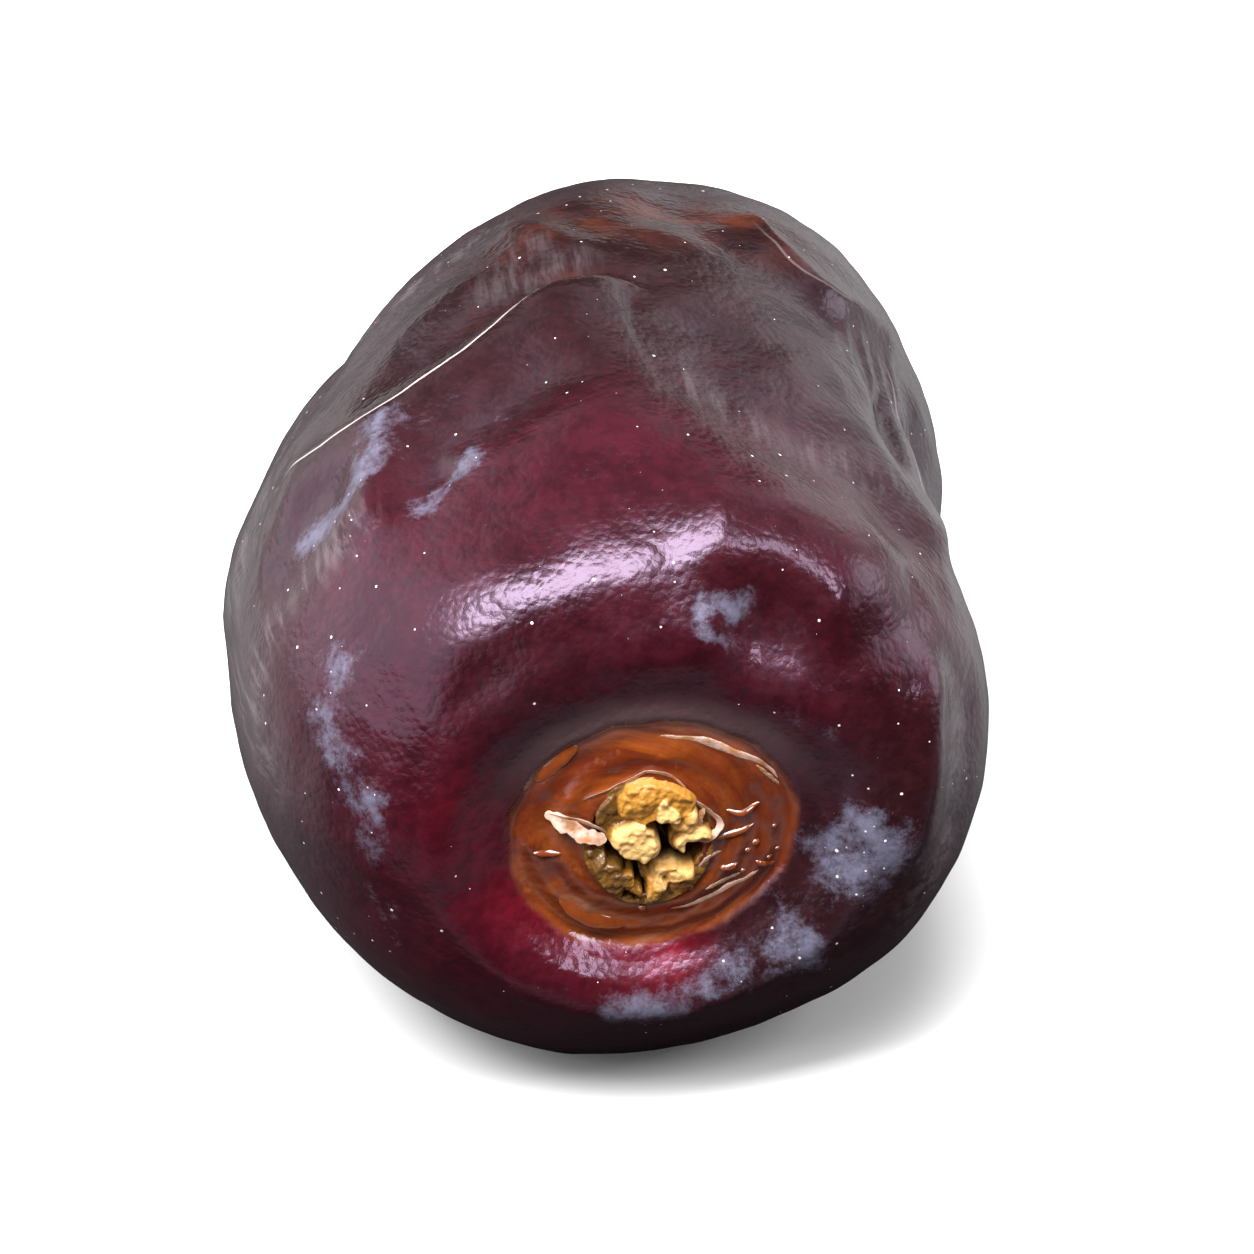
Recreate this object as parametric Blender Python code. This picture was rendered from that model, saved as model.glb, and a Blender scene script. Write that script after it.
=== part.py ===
"""Soft dark date without its cap, lying on its side as picked.

The fruit is a plump barrel with thin skin that has slumped into soft folds. Its stem end faces -Y
and shows the round scar that the cap left, with a torn tuft of stalk fibres in a hole at its middle.
Its tip points to +Y, a little to the +X side. It rests on a small flat spot at z = 0.

Every size below is in millimetres. The meshes are made in metres.
"""
import math

import bpy
import numpy as np

MM = 0.001

# Whole fruit
LENGTH = 34.0
WIDTH = 25.0
HEIGHT = 22.6
STEM_END_POWER = 3.5        # 2 would be an ellipse, and more is blunter
TIP_END_POWER = 2.75
LEFT_TAPER = 0.30           # share of the half width or half height lost at the tip
RIGHT_TAPER = 0.17
TOP_TAPER = 0.18
UNDER_TAPER = 0.2
LEAN = 1.7                  # sideways shift of the centre line from the middle to the tip
BEND = 2.4                  # sideways shift of both ends against the middle
SAG = 0.3                   # both ends lie lower than the middle by this much
SCAR_ASIDE = -0.5           # the scar's middle, from the barrel's own axis
SCAR_UP = 0.6
FLAT_DEPTH = 0.55           # what the resting surface presses off the underside
FLAT_BLEND = 0.12           # height over which the flat spot's edge is rounded

# Stem end: the basin, the scar in it and the hole of the stalk
BASIN_DEPTH = 1.3
BASIN_FLOOR = 4.3
BASIN_REACH = 7.3
BASIN_REACH_BELOW = 6.7
SCAR_RADIUS = 4.55
SCAR_STEP = 0.28
SCAR_DOME = 0.5
RING_PITCH = 0.95
RING_HEIGHT = 0.05
HOLE_X = -0.1               # the hole's middle, from the scar's middle
HOLE_Z = -0.3
HOLE_HALF_WIDTH = 2.1
HOLE_HALF_HEIGHT = 2.45
HOLE_DEPTH = 1.7
HOLE_WALL = 0.15            # the wall's lean, as a share of the hole's radius

# Tip
TIP_DIMPLE_DEPTH = 0.9
TIP_DIMPLE_RADIUS = 2.1
TIP_POINT_HEIGHT = 0.55
TIP_POINT_RADIUS = 0.55

# Torn stalk fibres
TUFT_GAP = 0.32             # all round, so that the tuft only stands in its hole
TUFT_HALF_WIDTH = 1.42
TUFT_HALF_HEIGHT = 1.72
TUFT_FLARE = 0.18           # share by which it widens up to its top
TUFT_BODY = 0.6             # solid root of the tuft, up from its base
TUFT_TOP = 2.0
TUFT_CROWN = 0.2
# Each torn lobe: middle and half sizes in a disc of radius 1, turn in degrees, and height
TUFT_LOBES = [
    ((-0.20, 0.05), (0.44, 0.34), 25.0, 1.8),
    ((-0.16, 0.50), (0.50, 0.42), -20.0, 1.55),
    ((0.34, 0.52), (0.48, 0.44), 30.0, 1.5),
    ((0.66, 0.16), (0.34, 0.44), 15.0, 1.45),
    ((-0.66, 0.36), (0.34, 0.34), 10.0, 1.2),
    ((-0.62, -0.48), (0.42, 0.44), 35.0, 1.4),
    ((-0.06, -0.62), (0.40, 0.38), -20.0, 1.2),
    ((0.46, -0.56), (0.50, 0.34), 20.0, 1.35),
]
# The dark crack across the tuft, as places in the same disc
TUFT_CRACK = [(-0.95, 0.22), (-0.62, -0.02), (-0.38, -0.26), (0.0, -0.36), (0.40, -0.22), (0.85, -0.2)]
TUFT_CRACK_WIDTH = 0.13
TUFT_CRACK_FLOOR = 0.25
TUFT_RINGS = 12

# Colours
SKIN_COLOUR = (0.055, 0.012, 0.022)
SCAR_COLOUR = (0.36, 0.11, 0.02)
FIBRE_COLOUR = (0.62, 0.42, 0.17)

# Places that follow from the sizes above
SCAR_X = BEND - LEAN + SCAR_ASIDE
SCAR_Z = HEIGHT / 2 - SAG + SCAR_UP
TIP_X = BEND + LEAN
TIP_Z = HEIGHT / 2 - SAG
SCAR_Y = -LENGTH / 2 + BASIN_DEPTH + SCAR_STEP - SCAR_DOME
TUFT_BASE_Y = SCAR_Y + HOLE_DEPTH - RING_HEIGHT - TUFT_GAP

# Mesh steps
CAP_RINGS = 11
BARREL_RINGS = 54


def smoothstep(low, high, value):
    """Go smoothly from 0 at low to 1 at high."""
    t = np.clip((value - low) / (high - low), 0.0, 1.0)
    return t * t * (3.0 - 2.0 * t)


class Bump:
    """A swelling (height over 0) or a hollow (under 0) round one point of the fruit."""

    def __init__(self, centre, reach, height):
        self.centre = np.array(centre)
        self.reach = np.array(reach)
        self.height = height

    def lift(self, points, outward):
        """Height over the plain barrel at each point."""
        offset = (points - self.centre) / self.reach
        return self.height * np.exp(-np.sum(offset * offset, axis=-1))


class Fold:
    """A crest (height over 0) or a crease (under 0) of the skin along a line of points.

    Seen from outside and walking along the points, its left flank is `left` wide and its right
    flank `right` wide. A power of 1 makes a sharp edge and 2 a round one. It fades at both ends.
    """

    def __init__(self, points, height, left, right, power=2.0, fade=0.25):
        self.line = smooth_line(np.array(points, float), 5)
        self.height = height
        self.left = left
        self.right = right
        self.power = power
        self.fade = fade

    def lift(self, points, outward):
        """Height over the plain barrel at each point."""
        reach = 3.2 * max(self.left, self.right) + 0.2
        low = self.line.min(axis=0) - reach
        high = self.line.max(axis=0) + reach
        near = np.all((points > low) & (points < high), axis=-1)
        lift = np.zeros(points.shape[:-1])
        if not near.any():
            return lift
        distance, along = self.measure(points[near], outward[near])
        width = np.where(distance > 0.0, self.left, self.right)
        shape = np.exp(-np.abs(distance / width) ** self.power)
        ends = smoothstep(0.0, self.fade, along) * smoothstep(0.0, self.fade, 1.0 - along)
        lift[near] = self.height * shape * ends
        return lift

    def measure(self, points, outward):
        """Signed distance to the line, and the share of its length at the nearest place."""
        starts = self.line[:-1]
        steps = self.line[1:] - starts
        lengths = np.linalg.norm(steps, axis=1)
        walked = np.concatenate([[0.0], np.cumsum(lengths)])
        best = np.full(len(points), np.inf)
        signed = np.zeros(len(points))
        along = np.zeros(len(points))
        for index, (start, step, length) in enumerate(zip(starts, steps, lengths)):
            offset = points - start
            share = np.clip(offset @ step / length ** 2, 0.0, 1.0)
            gap = offset - share[:, None] * step
            size = np.linalg.norm(gap, axis=1)
            side = np.sign(np.sum(np.cross(outward, step) * gap, axis=1))
            closer = size < best
            best = np.where(closer, size, best)
            signed = np.where(closer, size * side, signed)
            along = np.where(closer, (walked[index] + share * length) / walked[-1], along)
        return signed, along


def smooth_line(points, pieces):
    """A curve through the points, with each stretch split in that many straight pieces."""
    ends = np.vstack([2 * points[0] - points[1], points, 2 * points[-1] - points[-2]])
    curve = []
    for before, start, end, after in zip(ends[:-3], ends[1:-2], ends[2:-1], ends[3:]):
        for t in np.arange(pieces) / pieces:
            curve.append(0.5 * (2 * start + (end - before) * t
                                + (2 * before - 5 * start + 4 * end - after) * t ** 2
                                + (3 * start - before - 3 * end + after) * t ** 3))
    curve.append(points[-1])
    return np.array(curve)


# The folds and hollows of the skin, as places on the plain barrel.
# Top: the long sharp pleat on the left, the hollow before it, and the soft fold that runs
# from the pleat's high end down to the right.
RELIEF = [
    Fold([(-10.6, -2.0, 16.0), (-8.6, -3.1, 19.0), (-6.6, -3.3, 20.5), (-4.5, -2.4, 21.4),
          (-2.3, -0.9, 21.9), (-0.6, 0.5, 22.0), (0.7, 1.5, 22.0), (2.0, 1.6, 22.0)],
          0.55, 0.5, 1.7, 1.1, 0.2),
    Fold([(-9.8, -0.4, 17.6), (-6.4, -1.6, 20.6), (-3.9, -0.8, 21.5), (-1.2, 1.6, 21.9), (0.8, 3.2, 21.8)],
         -0.55, 1.3, 1.1, 2.0, 0.3),
    Fold([(-7.0, -5.2, 20.3), (-4.4, -5.0, 21.6), (-2.0, -3.6, 22.1), (0.0, -1.6, 22.2)],
         -0.5, 1.5, 1.7, 2.0, 0.35),
    Fold([(0.4, 1.0, 22.2), (1.8, -1.8, 22.2), (2.7, -5.1, 22.0), (3.9, -7.0, 21.5), (5.6, -8.0, 20.7),
          (7.6, -7.9, 19.4), (9.6, -6.8, 17.6)],
         0.5, 1.0, 2.2, 1.6, 0.15),
    Fold([(2.4, 1.6, 22.0), (3.6, -2.0, 21.9), (4.6, -5.0, 21.4), (6.0, -6.4, 20.6), (8.4, -6.0, 18.9)],
         -0.55, 1.3, 1.3, 2.0, 0.25),
    Fold([(0.7, 1.5, 22.0), (-0.4, 3.3, 21.8), (-1.6, 5.6, 21.2), (-2.4, 8.0, 20.2)],
         0.35, 0.8, 0.9, 1.4, 0.3),
    # Left shoulder: three small folds below the pleat's low end
    Fold([(-7.0, -2.0, 20.2), (-7.5, -4.2, 20.1), (-7.7, -6.4, 19.9), (-8.4, -8.0, 19.2)],
         0.3, 0.6, 0.7, 1.4, 0.3),
    Fold([(-8.2, -3.6, 19.5), (-8.9, -5.2, 18.9), (-9.9, -6.2, 17.8), (-10.8, -6.6, 16.4)],
         -0.35, 0.7, 0.7, 2.0, 0.3),
    Fold([(-5.2, -6.4, 21.4), (-6.2, -8.0, 20.8), (-6.9, -9.2, 20.0)], -0.22, 0.8, 0.8, 2.0, 0.35),
    # Right of the tip: a stepped crease, and the pinched skin that runs down the right side
    Fold([(6.4, 9.6, 19.2), (6.9, 6.4, 19.7), (7.6, 5.5, 19.3), (8.8, 5.5, 18.3), (10.0, 6.3, 17.1),
          (10.9, 6.2, 15.7), (11.4, 5.2, 14.2)],
         0.4, 0.45, 0.7, 1.2, 0.25),
    Fold([(5.4, 6.8, 20.5), (6.4, 4.4, 20.3), (8.2, 3.6, 19.2), (10.0, 4.2, 17.4)],
         -0.35, 0.8, 0.8, 2.0, 0.3),
    Fold([(11.0, 5.4, 15.4), (10.9, 1.4, 15.7), (10.7, -1.6, 15.9), (10.8, -4.6, 15.8), (11.2, -7.6, 15.0)],
         0.3, 0.4, 0.5, 1.2, 0.25),
    Fold([(12.6, 4.6, 12.4), (12.4, 0.0, 13.2), (12.4, -4.6, 13.0), (12.6, -8.6, 12.4)],
         -0.85, 2.0, 2.4, 2.0, 0.3),
    Fold([(10.0, 2.0, 17.4), (9.9, -1.0, 17.4), (9.8, -4.0, 17.5)], -0.3, 0.6, 0.6, 2.0, 0.3),
    # Stem end: the dent above the scar with its hooked rim, and the facet on the right
    Bump((3.9, -15.6, 18.0), (1.6, 2.4, 1.7), -0.75),
    Fold([(0.6, -13.9, 20.4), (2.4, -13.4, 20.5), (4.2, -13.3, 20.0), (5.6, -13.9, 18.9),
          (6.4, -14.9, 17.2)],
         0.28, 0.8, 0.7, 1.6, 0.3),
    Fold([(9.2, -13.2, 17.0), (8.9, -14.7, 14.8), (8.9, -15.5, 12.5), (8.7, -15.8, 10.6), (8.0, -15.9, 8.2)],
         0.35, 0.9, 0.9, 1.4, 0.3),
    Fold([(11.2, -12.0, 15.0), (10.6, -13.6, 12.6), (10.2, -14.3, 10.2), (9.6, -14.6, 8.0)],
         -0.4, 0.9, 0.9, 2.0, 0.3),
    Bump((6.6, -16.6, 12.4), (1.7, 2.0, 2.6), -0.5),
    Bump((-1.4, -16.9, 6.6), (2.6, 1.6, 1.4), 0.35),
    Bump((-4.2, -14.4, 19.2), (3.6, 2.4, 1.8), 0.25),
    # Broad flat places of the sides
    Bump((-8.4, 3.0, 18.4), (4.0, 5.5, 3.2), -0.55),
    Bump((-10.4, -12.0, 8.2), (3.6, 4.0, 3.0), -0.4),
    Bump((3.8, -13.4, 2.4), (4.0, 3.4, 2.6), -0.25),
    Bump((-3.6, 8.0, 20.4), (4.0, 4.0, 3.0), -0.3),
    # Belly that has sagged where the fruit lies
    Bump((0.7, 0.4, 0.2), (8.0, 9.0, 4.0), 0.5),
    Bump((10.8, 2.0, 16.4), (3.4, 6.5, 3.2), -0.5),
    # Left side, away from the view: long folds towards the tip
    Fold([(-12.2, -6.0, 12.6), (-12.3, -1.0, 12.8), (-11.0, 5.0, 12.6), (-7.4, 11.0, 12.0)],
         0.4, 0.9, 1.5, 1.4, 0.25),
    Fold([(-12.0, -5.0, 10.2), (-11.9, 0.0, 10.0), (-10.4, 6.0, 10.0), (-6.6, 12.0, 10.4)],
         -0.55, 1.5, 1.1, 2.0, 0.25),
    Fold([(-10.6, 1.6, 16.4), (-9.0, 6.0, 16.6), (-5.8, 10.8, 15.8), (-2.4, 14.0, 14.2)],
         -0.45, 1.0, 1.3, 2.0, 0.3),
    Fold([(-9.8, 0.6, 6.2), (-8.4, 6.0, 6.6), (-5.0, 11.4, 8.0)], -0.4, 1.1, 1.1, 2.0, 0.3),
    # Far end of the top: the skin is drawn in to the tip
    Fold([(3.2, 4.4, 21.6), (3.6, 8.6, 20.4), (3.9, 12.2, 17.6), (4.0, 14.8, 14.6)],
         -0.4, 1.1, 1.1, 2.0, 0.3),
    Fold([(0.2, 6.4, 21.0), (0.8, 10.0, 19.0), (2.0, 13.4, 15.8)], 0.3, 0.8, 0.8, 1.4, 0.3),
    Fold([(7.4, 9.0, 18.4), (6.9, 12.0, 16.0), (5.6, 14.6, 13.4)], -0.35, 0.9, 0.9, 2.0, 0.3),
    # Right side and underside
    Fold([(13.4, 2.0, 10.0), (12.8, 7.0, 10.4), (10.4, 12.0, 10.8)], 0.35, 1.0, 0.8, 1.4, 0.3),
    Fold([(12.6, 0.6, 7.4), (12.0, 6.0, 8.0), (9.2, 12.0, 9.4)], -0.5, 1.1, 1.2, 2.0, 0.3),
    Fold([(9.8, -4.0, 3.6), (10.0, 2.0, 4.4), (9.0, 8.0, 6.2), (6.6, 13.2, 8.8)],
         -0.4, 1.1, 1.1, 2.0, 0.3),
    Fold([(-5.6, 4.0, 3.4), (-2.6, 9.6, 5.2), (1.2, 13.6, 8.0)], 0.35, 0.9, 0.9, 1.4, 0.3),
    Fold([(3.4, 6.4, 3.2), (3.6, 11.0, 5.6), (3.8, 14.6, 8.8)], -0.4, 1.1, 1.1, 2.0, 0.3),
]


def barrel(psi, phi):
    """Points and outward directions of the plain barrel.

    psi runs from 0 at the middle of the stem end to pi at the tip. phi goes round the fruit from
    +X towards +Z.
    """
    power = np.where(psi < math.pi / 2, STEM_END_POWER, TIP_END_POWER)
    along = np.cos(psi)
    across = np.abs(np.sin(psi))
    stretch = (np.abs(along) ** power + across ** power) ** (-1.0 / power)
    q = -along * stretch
    rho = across * stretch
    right = (1.0 + np.cos(phi)) / 2.0
    upper = (1.0 + np.sin(phi)) / 2.0
    towards_tip = ((q + 1.0) / 2.0) ** 2
    half_width = WIDTH / 2 * (1.0 - towards_tip * (RIGHT_TAPER * right + LEFT_TAPER * (1.0 - right)))
    half_height = HEIGHT / 2 * (1.0 - towards_tip * (TOP_TAPER * upper + UNDER_TAPER * (1.0 - upper)))
    at_scar = np.where(q < 0.0, (1.0 - rho ** 2) ** 2, 0.0)
    x = half_width * rho * np.cos(phi) + LEAN * q + BEND * q * q + SCAR_ASIDE * at_scar
    y = LENGTH / 2 * q
    z = half_height * rho * np.sin(phi) + HEIGHT / 2 - SAG * q * q + SCAR_UP * at_scar
    outward = np.stack([rho ** (power - 1) * np.cos(phi) / half_width,
                        np.sign(q) * np.abs(q) ** (power - 1) / (LENGTH / 2),
                        rho ** (power - 1) * np.sin(phi) / half_height], axis=-1)
    outward /= np.linalg.norm(outward, axis=-1, keepdims=True)
    return np.stack([x, y, z], axis=-1), outward


def stem_end_depth(x, z):
    """How far the stem end lies in from the plain barrel, from offsets to the scar's middle."""
    r = np.hypot(x, z)
    turn = np.arctan2(z, x)
    below = smoothstep(0.2, 1.0, -np.sin(turn))
    reach = BASIN_REACH + (BASIN_REACH_BELOW - BASIN_REACH) * below
    basin = BASIN_DEPTH * (1.0 - smoothstep(BASIN_FLOOR, reach, r))
    edge = SCAR_RADIUS * (1.0 + 0.025 * np.sin(2 * turn + 0.6) + 0.015 * np.sin(3 * turn + 2.0))
    inside = r / edge
    step = SCAR_STEP * (1.0 - smoothstep(0.93, 1.03, inside))
    dome = SCAR_DOME * np.clip(1.0 - inside ** 2, 0.0, 1.0)
    rings = RING_HEIGHT * np.cos(2 * math.pi * r / RING_PITCH) * (1.0 - smoothstep(0.85, 0.98, inside))
    return basin + step - dome - rings + hole_depth(x, z)


def hole_radius(x, z):
    """Distance from the hole's middle as a share of the distance to its torn rim."""
    across, up = x - HOLE_X, z - HOLE_Z
    turn = np.arctan2(up, across)
    torn = 1.0 + 0.05 * np.sin(3 * turn + 0.8) + 0.03 * np.sin(5 * turn)
    return np.hypot(across / HOLE_HALF_WIDTH, up / HOLE_HALF_HEIGHT) / torn


def hole_depth(x, z):
    """Depth of the stalk's hole below the scar."""
    return HOLE_DEPTH * (1.0 - smoothstep(1.0 - HOLE_WALL, 1.0, hole_radius(x, z)))


def tip_depth(x, z):
    """How far the tip lies in from the plain barrel: a dimple with a small point in it."""
    r = np.hypot(x, z)
    dimple = TIP_DIMPLE_DEPTH * np.exp(-(r / TIP_DIMPLE_RADIUS) ** 2)
    point = TIP_POINT_HEIGHT * np.exp(-(r / TIP_POINT_RADIUS) ** 2)
    return dimple - point


def fruit_surface(psi, phi):
    """Points of the fruit's skin and scar, before it is set down on its flat spot."""
    base, outward = barrel(psi, phi)
    lift = np.zeros(psi.shape)
    for feature in RELIEF:
        lift = lift + feature.lift(base, outward)
    x_in_scar = base[..., 0] - SCAR_X
    z_in_scar = base[..., 2] - SCAR_Z
    calm = smoothstep(SCAR_RADIUS - 0.4, SCAR_RADIUS + 0.8, np.hypot(x_in_scar, z_in_scar))
    at_stem = base[..., 1] < 0.0
    lift = lift * np.where(at_stem, calm, 1.0)
    points = base + outward * lift[..., None]
    inset = np.where(at_stem, stem_end_depth(x_in_scar, z_in_scar),
                     -tip_depth(base[..., 0] - TIP_X, base[..., 2] - TIP_Z))
    points[..., 1] += inset
    return points


def ring_positions(stem_end):
    """Values of psi for the rings of one end, closer together on the scar than on the tip."""
    if stem_end:
        radii = np.array([0.55, 1.1, 1.6, 1.95, 2.3, 2.8, 3.4, 4.0, 4.45, 4.7, 5.4])
        return np.arctan(radii / (WIDTH / 2))
    return math.pi - np.linspace(0.035, 0.38, CAP_RINGS)


def round_mesh_grid():
    """psi and phi of every point of the fruit's mesh, and its faces.

    Each end is a square net of faces drawn out to a disc, so no faces meet in one thin fan. Ring
    k of an end has 8 k points, and the barrel keeps the last ring's number.
    """
    around = 8 * CAP_RINGS
    stem = ring_positions(True)
    tip = ring_positions(False)
    barrel_rings = np.linspace(0.0, 1.0, BARREL_RINGS + 2)[1:-1]
    middle = stem[-1] + (tip[-1] - stem[-1]) * barrel_rings
    counts = [1] + [8 * (k + 1) for k in range(CAP_RINGS)]
    counts = counts + [around] * BARREL_RINGS + counts[::-1]
    levels = np.concatenate([[0.0], stem, middle, tip[::-1], [math.pi]])
    psi = np.concatenate([np.full(count, level) for count, level in zip(counts, levels)])
    phi = np.concatenate([np.arange(count) * 2 * math.pi / count for count in counts])
    starts = np.concatenate([[0], np.cumsum(counts)])
    faces = []
    for ring in range(len(counts) - 1):
        faces += ring_faces(counts[ring], counts[ring + 1], starts[ring], starts[ring + 1])
    return *round_the_scar(psi, phi), faces


def round_the_scar(psi, phi):
    """Make the rings near the scar round, where the barrel's own rings are a little flattened."""
    distance = WIDTH / 2 * np.tan(np.minimum(psi, 1.2))
    near = 1.0 - smoothstep(SCAR_RADIUS + 0.4, BASIN_REACH + 1.0, distance)
    flattening = WIDTH / HEIGHT
    stretch = np.hypot(np.cos(phi), flattening * np.sin(phi))
    turned = np.arctan2(flattening * np.sin(phi), np.cos(phi)) - phi
    turned = (turned + math.pi) % (2 * math.pi) - math.pi
    psi = np.where(near > 0.0, np.arctan(np.tan(np.minimum(psi, 1.2)) * (1.0 + near * (stretch - 1.0))), psi)
    return psi, phi + near * turned


def ring_faces(first_count, next_count, first_start, next_start):
    """Faces between two neighbouring rings, all turned to face out of the fruit."""
    if first_count == next_count:
        return [(first_start + k, next_start + k, next_start + (k + 1) % next_count,
                 first_start + (k + 1) % first_count) for k in range(first_count)]
    growing = next_count > first_count
    small, large = (first_start, next_start) if growing else (next_start, first_start)
    small_count, large_count = sorted((first_count, next_count))
    steps = small_count // 4
    faces = []
    for side in range(4):
        small_corner = side * steps
        large_corner = side * large_count // 4
        for k in range(small_corner, small_corner + steps):
            across = large_corner + k - small_corner + 1
            faces.append((small + k, small + (k + 1) % small_count, large + across + 1, large + across))
        faces.append((small + small_corner, large + large_corner + 1, large + large_corner,
                      large + (large_corner - 1) % large_count))
    if growing:
        faces = [face[::-1] for face in faces]
    return faces


def disc_rings(ring_count):
    """Start and number of points of each ring of a disc that is netted like the fruit's ends."""
    counts = [1] + [8 * (k + 1) for k in range(ring_count)]
    starts = np.concatenate([[0], np.cumsum(counts)])
    return counts, starts


def disc_faces(ring_count, first_point=0):
    """Faces of a netted disc that faces -Y."""
    counts, starts = disc_rings(ring_count)
    faces = []
    for ring in range(ring_count):
        faces += ring_faces(counts[ring], counts[ring + 1], starts[ring] + first_point,
                            starts[ring + 1] + first_point)
    return faces


def set_down(points):
    """Press the underside flat, and give the height of that flat spot before it is brought to 0."""
    level = points[:, 2].min() + FLAT_DEPTH
    over = points[:, 2] - level
    blend = FLAT_BLEND * np.clip((over / FLAT_BLEND + 1.0) / 2.0, 0.0, 1.0) ** 2
    pressed = points.copy()
    pressed[:, 2] = np.where(over > FLAT_BLEND, over, blend)
    return pressed, level


def tuft_height(u, v):
    """Height of the torn fibres over their base, at places in a disc of radius 1."""
    height = np.full(np.shape(u), TUFT_BODY)
    for (middle_u, middle_v), (reach_u, reach_v), turn, top in TUFT_LOBES:
        across, up = u - middle_u, v - middle_v
        cos, sin = math.cos(math.radians(turn)), math.sin(math.radians(turn))
        size = np.hypot((across * cos + up * sin) / reach_u, (up * cos - across * sin) / reach_v)
        lobe = TUFT_BODY + (top - TUFT_BODY) * (1.0 - smoothstep(0.45, 1.0, size))
        height = np.maximum(height, lobe + TUFT_CROWN * np.clip(1.0 - size, 0.0, 1.0))
    crack = 1.0 - smoothstep(0.5, 1.0, distance_to_crack(u, v) / TUFT_CRACK_WIDTH)
    height = height + (TUFT_CRACK_FLOOR - height) * crack
    edge = smoothstep(0.86, 1.0, np.hypot(u, v))
    return height + (np.minimum(height, TUFT_BODY) - height) * edge


def distance_to_crack(u, v):
    """Distance of places in the tuft's disc from the line of its crack."""
    distance = np.full(np.shape(u), np.inf)
    for (start_u, start_v), (end_u, end_v) in zip(TUFT_CRACK[:-1], TUFT_CRACK[1:]):
        run, rise = end_u - start_u, end_v - start_v
        share = np.clip(((u - start_u) * run + (v - start_v) * rise) / (run ** 2 + rise ** 2), 0.0, 1.0)
        distance = np.minimum(distance, np.hypot(u - start_u - share * run, v - start_v - share * rise))
    return distance


def tuft_surface(u, v, height):
    """Points of the tuft in the scar's own frame: x, depth behind the base's plane, z."""
    flare = 1.0 + TUFT_FLARE * height / TUFT_TOP
    x = HOLE_X + TUFT_HALF_WIDTH * flare * u
    z = HOLE_Z + TUFT_HALF_HEIGHT * flare * v
    return np.stack([SCAR_X + x, TUFT_BASE_Y - height, SCAR_Z + z], axis=-1)


def tuft_mesh_grid():
    """Points and faces of the tuft: a netted top, a netted base and one wall of faces."""
    counts, starts = disc_rings(TUFT_RINGS)
    share = np.concatenate([np.full(count, ring / TUFT_RINGS) for ring, count in enumerate(counts)])
    phi = np.concatenate([np.arange(count) * 2 * math.pi / count for count in counts])
    u, v = share * np.cos(phi), share * np.sin(phi)
    top = tuft_surface(u, v, tuft_height(u, v))
    base = tuft_surface(u, v, np.zeros(u.shape))
    size = len(u)
    faces = disc_faces(TUFT_RINGS)
    faces += [face[::-1] for face in disc_faces(TUFT_RINGS, size)]
    rim, count = int(starts[TUFT_RINGS]), counts[-1]
    faces += [(rim + k, size + rim + k, size + rim + (k + 1) % count, rim + (k + 1) % count)
              for k in range(count)]
    return np.concatenate([top, base]), faces


def make_object(name, points, faces, materials):
    """A smooth-shaded object from points in millimetres."""
    mesh = bpy.data.meshes.new(name)
    mesh.from_pydata([tuple(map(float, point)) for point in points * MM], [], faces)
    mesh.shade_smooth()
    for material in materials:
        mesh.materials.append(material)
    body = bpy.data.objects.new(name, mesh)
    bpy.context.scene.collection.objects.link(body)
    return body


def colour_scar(body, middle_x, level):
    """Give the faces inside the scar's edge the scar's own material."""
    for face in body.data.polygons:
        centre = face.center / MM
        beside = math.hypot(centre.x + middle_x - SCAR_X, centre.z + level - SCAR_Z)
        if centre.y < 0.0 and beside < SCAR_RADIUS:
            face.material_index = 1


def make_material(name, colour, roughness, metallic=0.0):
    """A Principled material of one plain colour."""
    material = bpy.data.materials.new(name)
    material.use_nodes = True
    shader = material.node_tree.nodes["Principled BSDF"]
    shader.inputs["Base Color"].default_value = (*colour, 1.0)
    shader.inputs["Roughness"].default_value = roughness
    shader.inputs["Metallic"].default_value = metallic
    material.diffuse_color = (*colour, 1.0)
    return material


def build():
    """Model the date and the torn fibres in its scar."""
    for thing in list(bpy.data.objects):
        bpy.data.objects.remove(thing, do_unlink=True)
    skin = make_material("date_skin", SKIN_COLOUR, 0.36)
    scar = make_material("scar_flesh", SCAR_COLOUR, 0.3)
    fibre = make_material("stalk_fibre", FIBRE_COLOUR, 0.6)

    psi, phi, faces = round_mesh_grid()
    points, level = set_down(fruit_surface(psi, phi))
    middle_x = (points[:, 0].max() + points[:, 0].min()) / 2
    middle_y = (points[:, 1].max() + points[:, 1].min()) / 2
    points -= np.array([middle_x, middle_y, 0.0])
    fruit = make_object("date_fruit", points, faces, [skin, scar])
    colour_scar(fruit, middle_x, level)

    tuft_points, tuft_faces = tuft_mesh_grid()
    tuft_points -= np.array([middle_x, middle_y, level])
    make_object("stalk_fibres", tuft_points, tuft_faces, [fibre])


if __name__ == "__main__":
    build()
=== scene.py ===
"""Looks of a soft dark date that lies on its side and has lost its cap.

The fruit and the torn stalk fibres are worked out again with the formulas of the CAD solids, on a far
finer mesh. Their folds lie up to 0.9 mm beside the solid's, and thin wrinkles are added. Torn membrane
and syrup lie on the scar. The finishes are made of nodes only. Sizes in the classes are in millimetres
in the fruit's own frame: x across, y from the stem end to the tip, z up. The meshes are in metres.
"""
from __future__ import annotations

import logging
import math
from dataclasses import dataclass, field

import bpy
import numpy as np
from mathutils import Matrix, Vector


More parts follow.
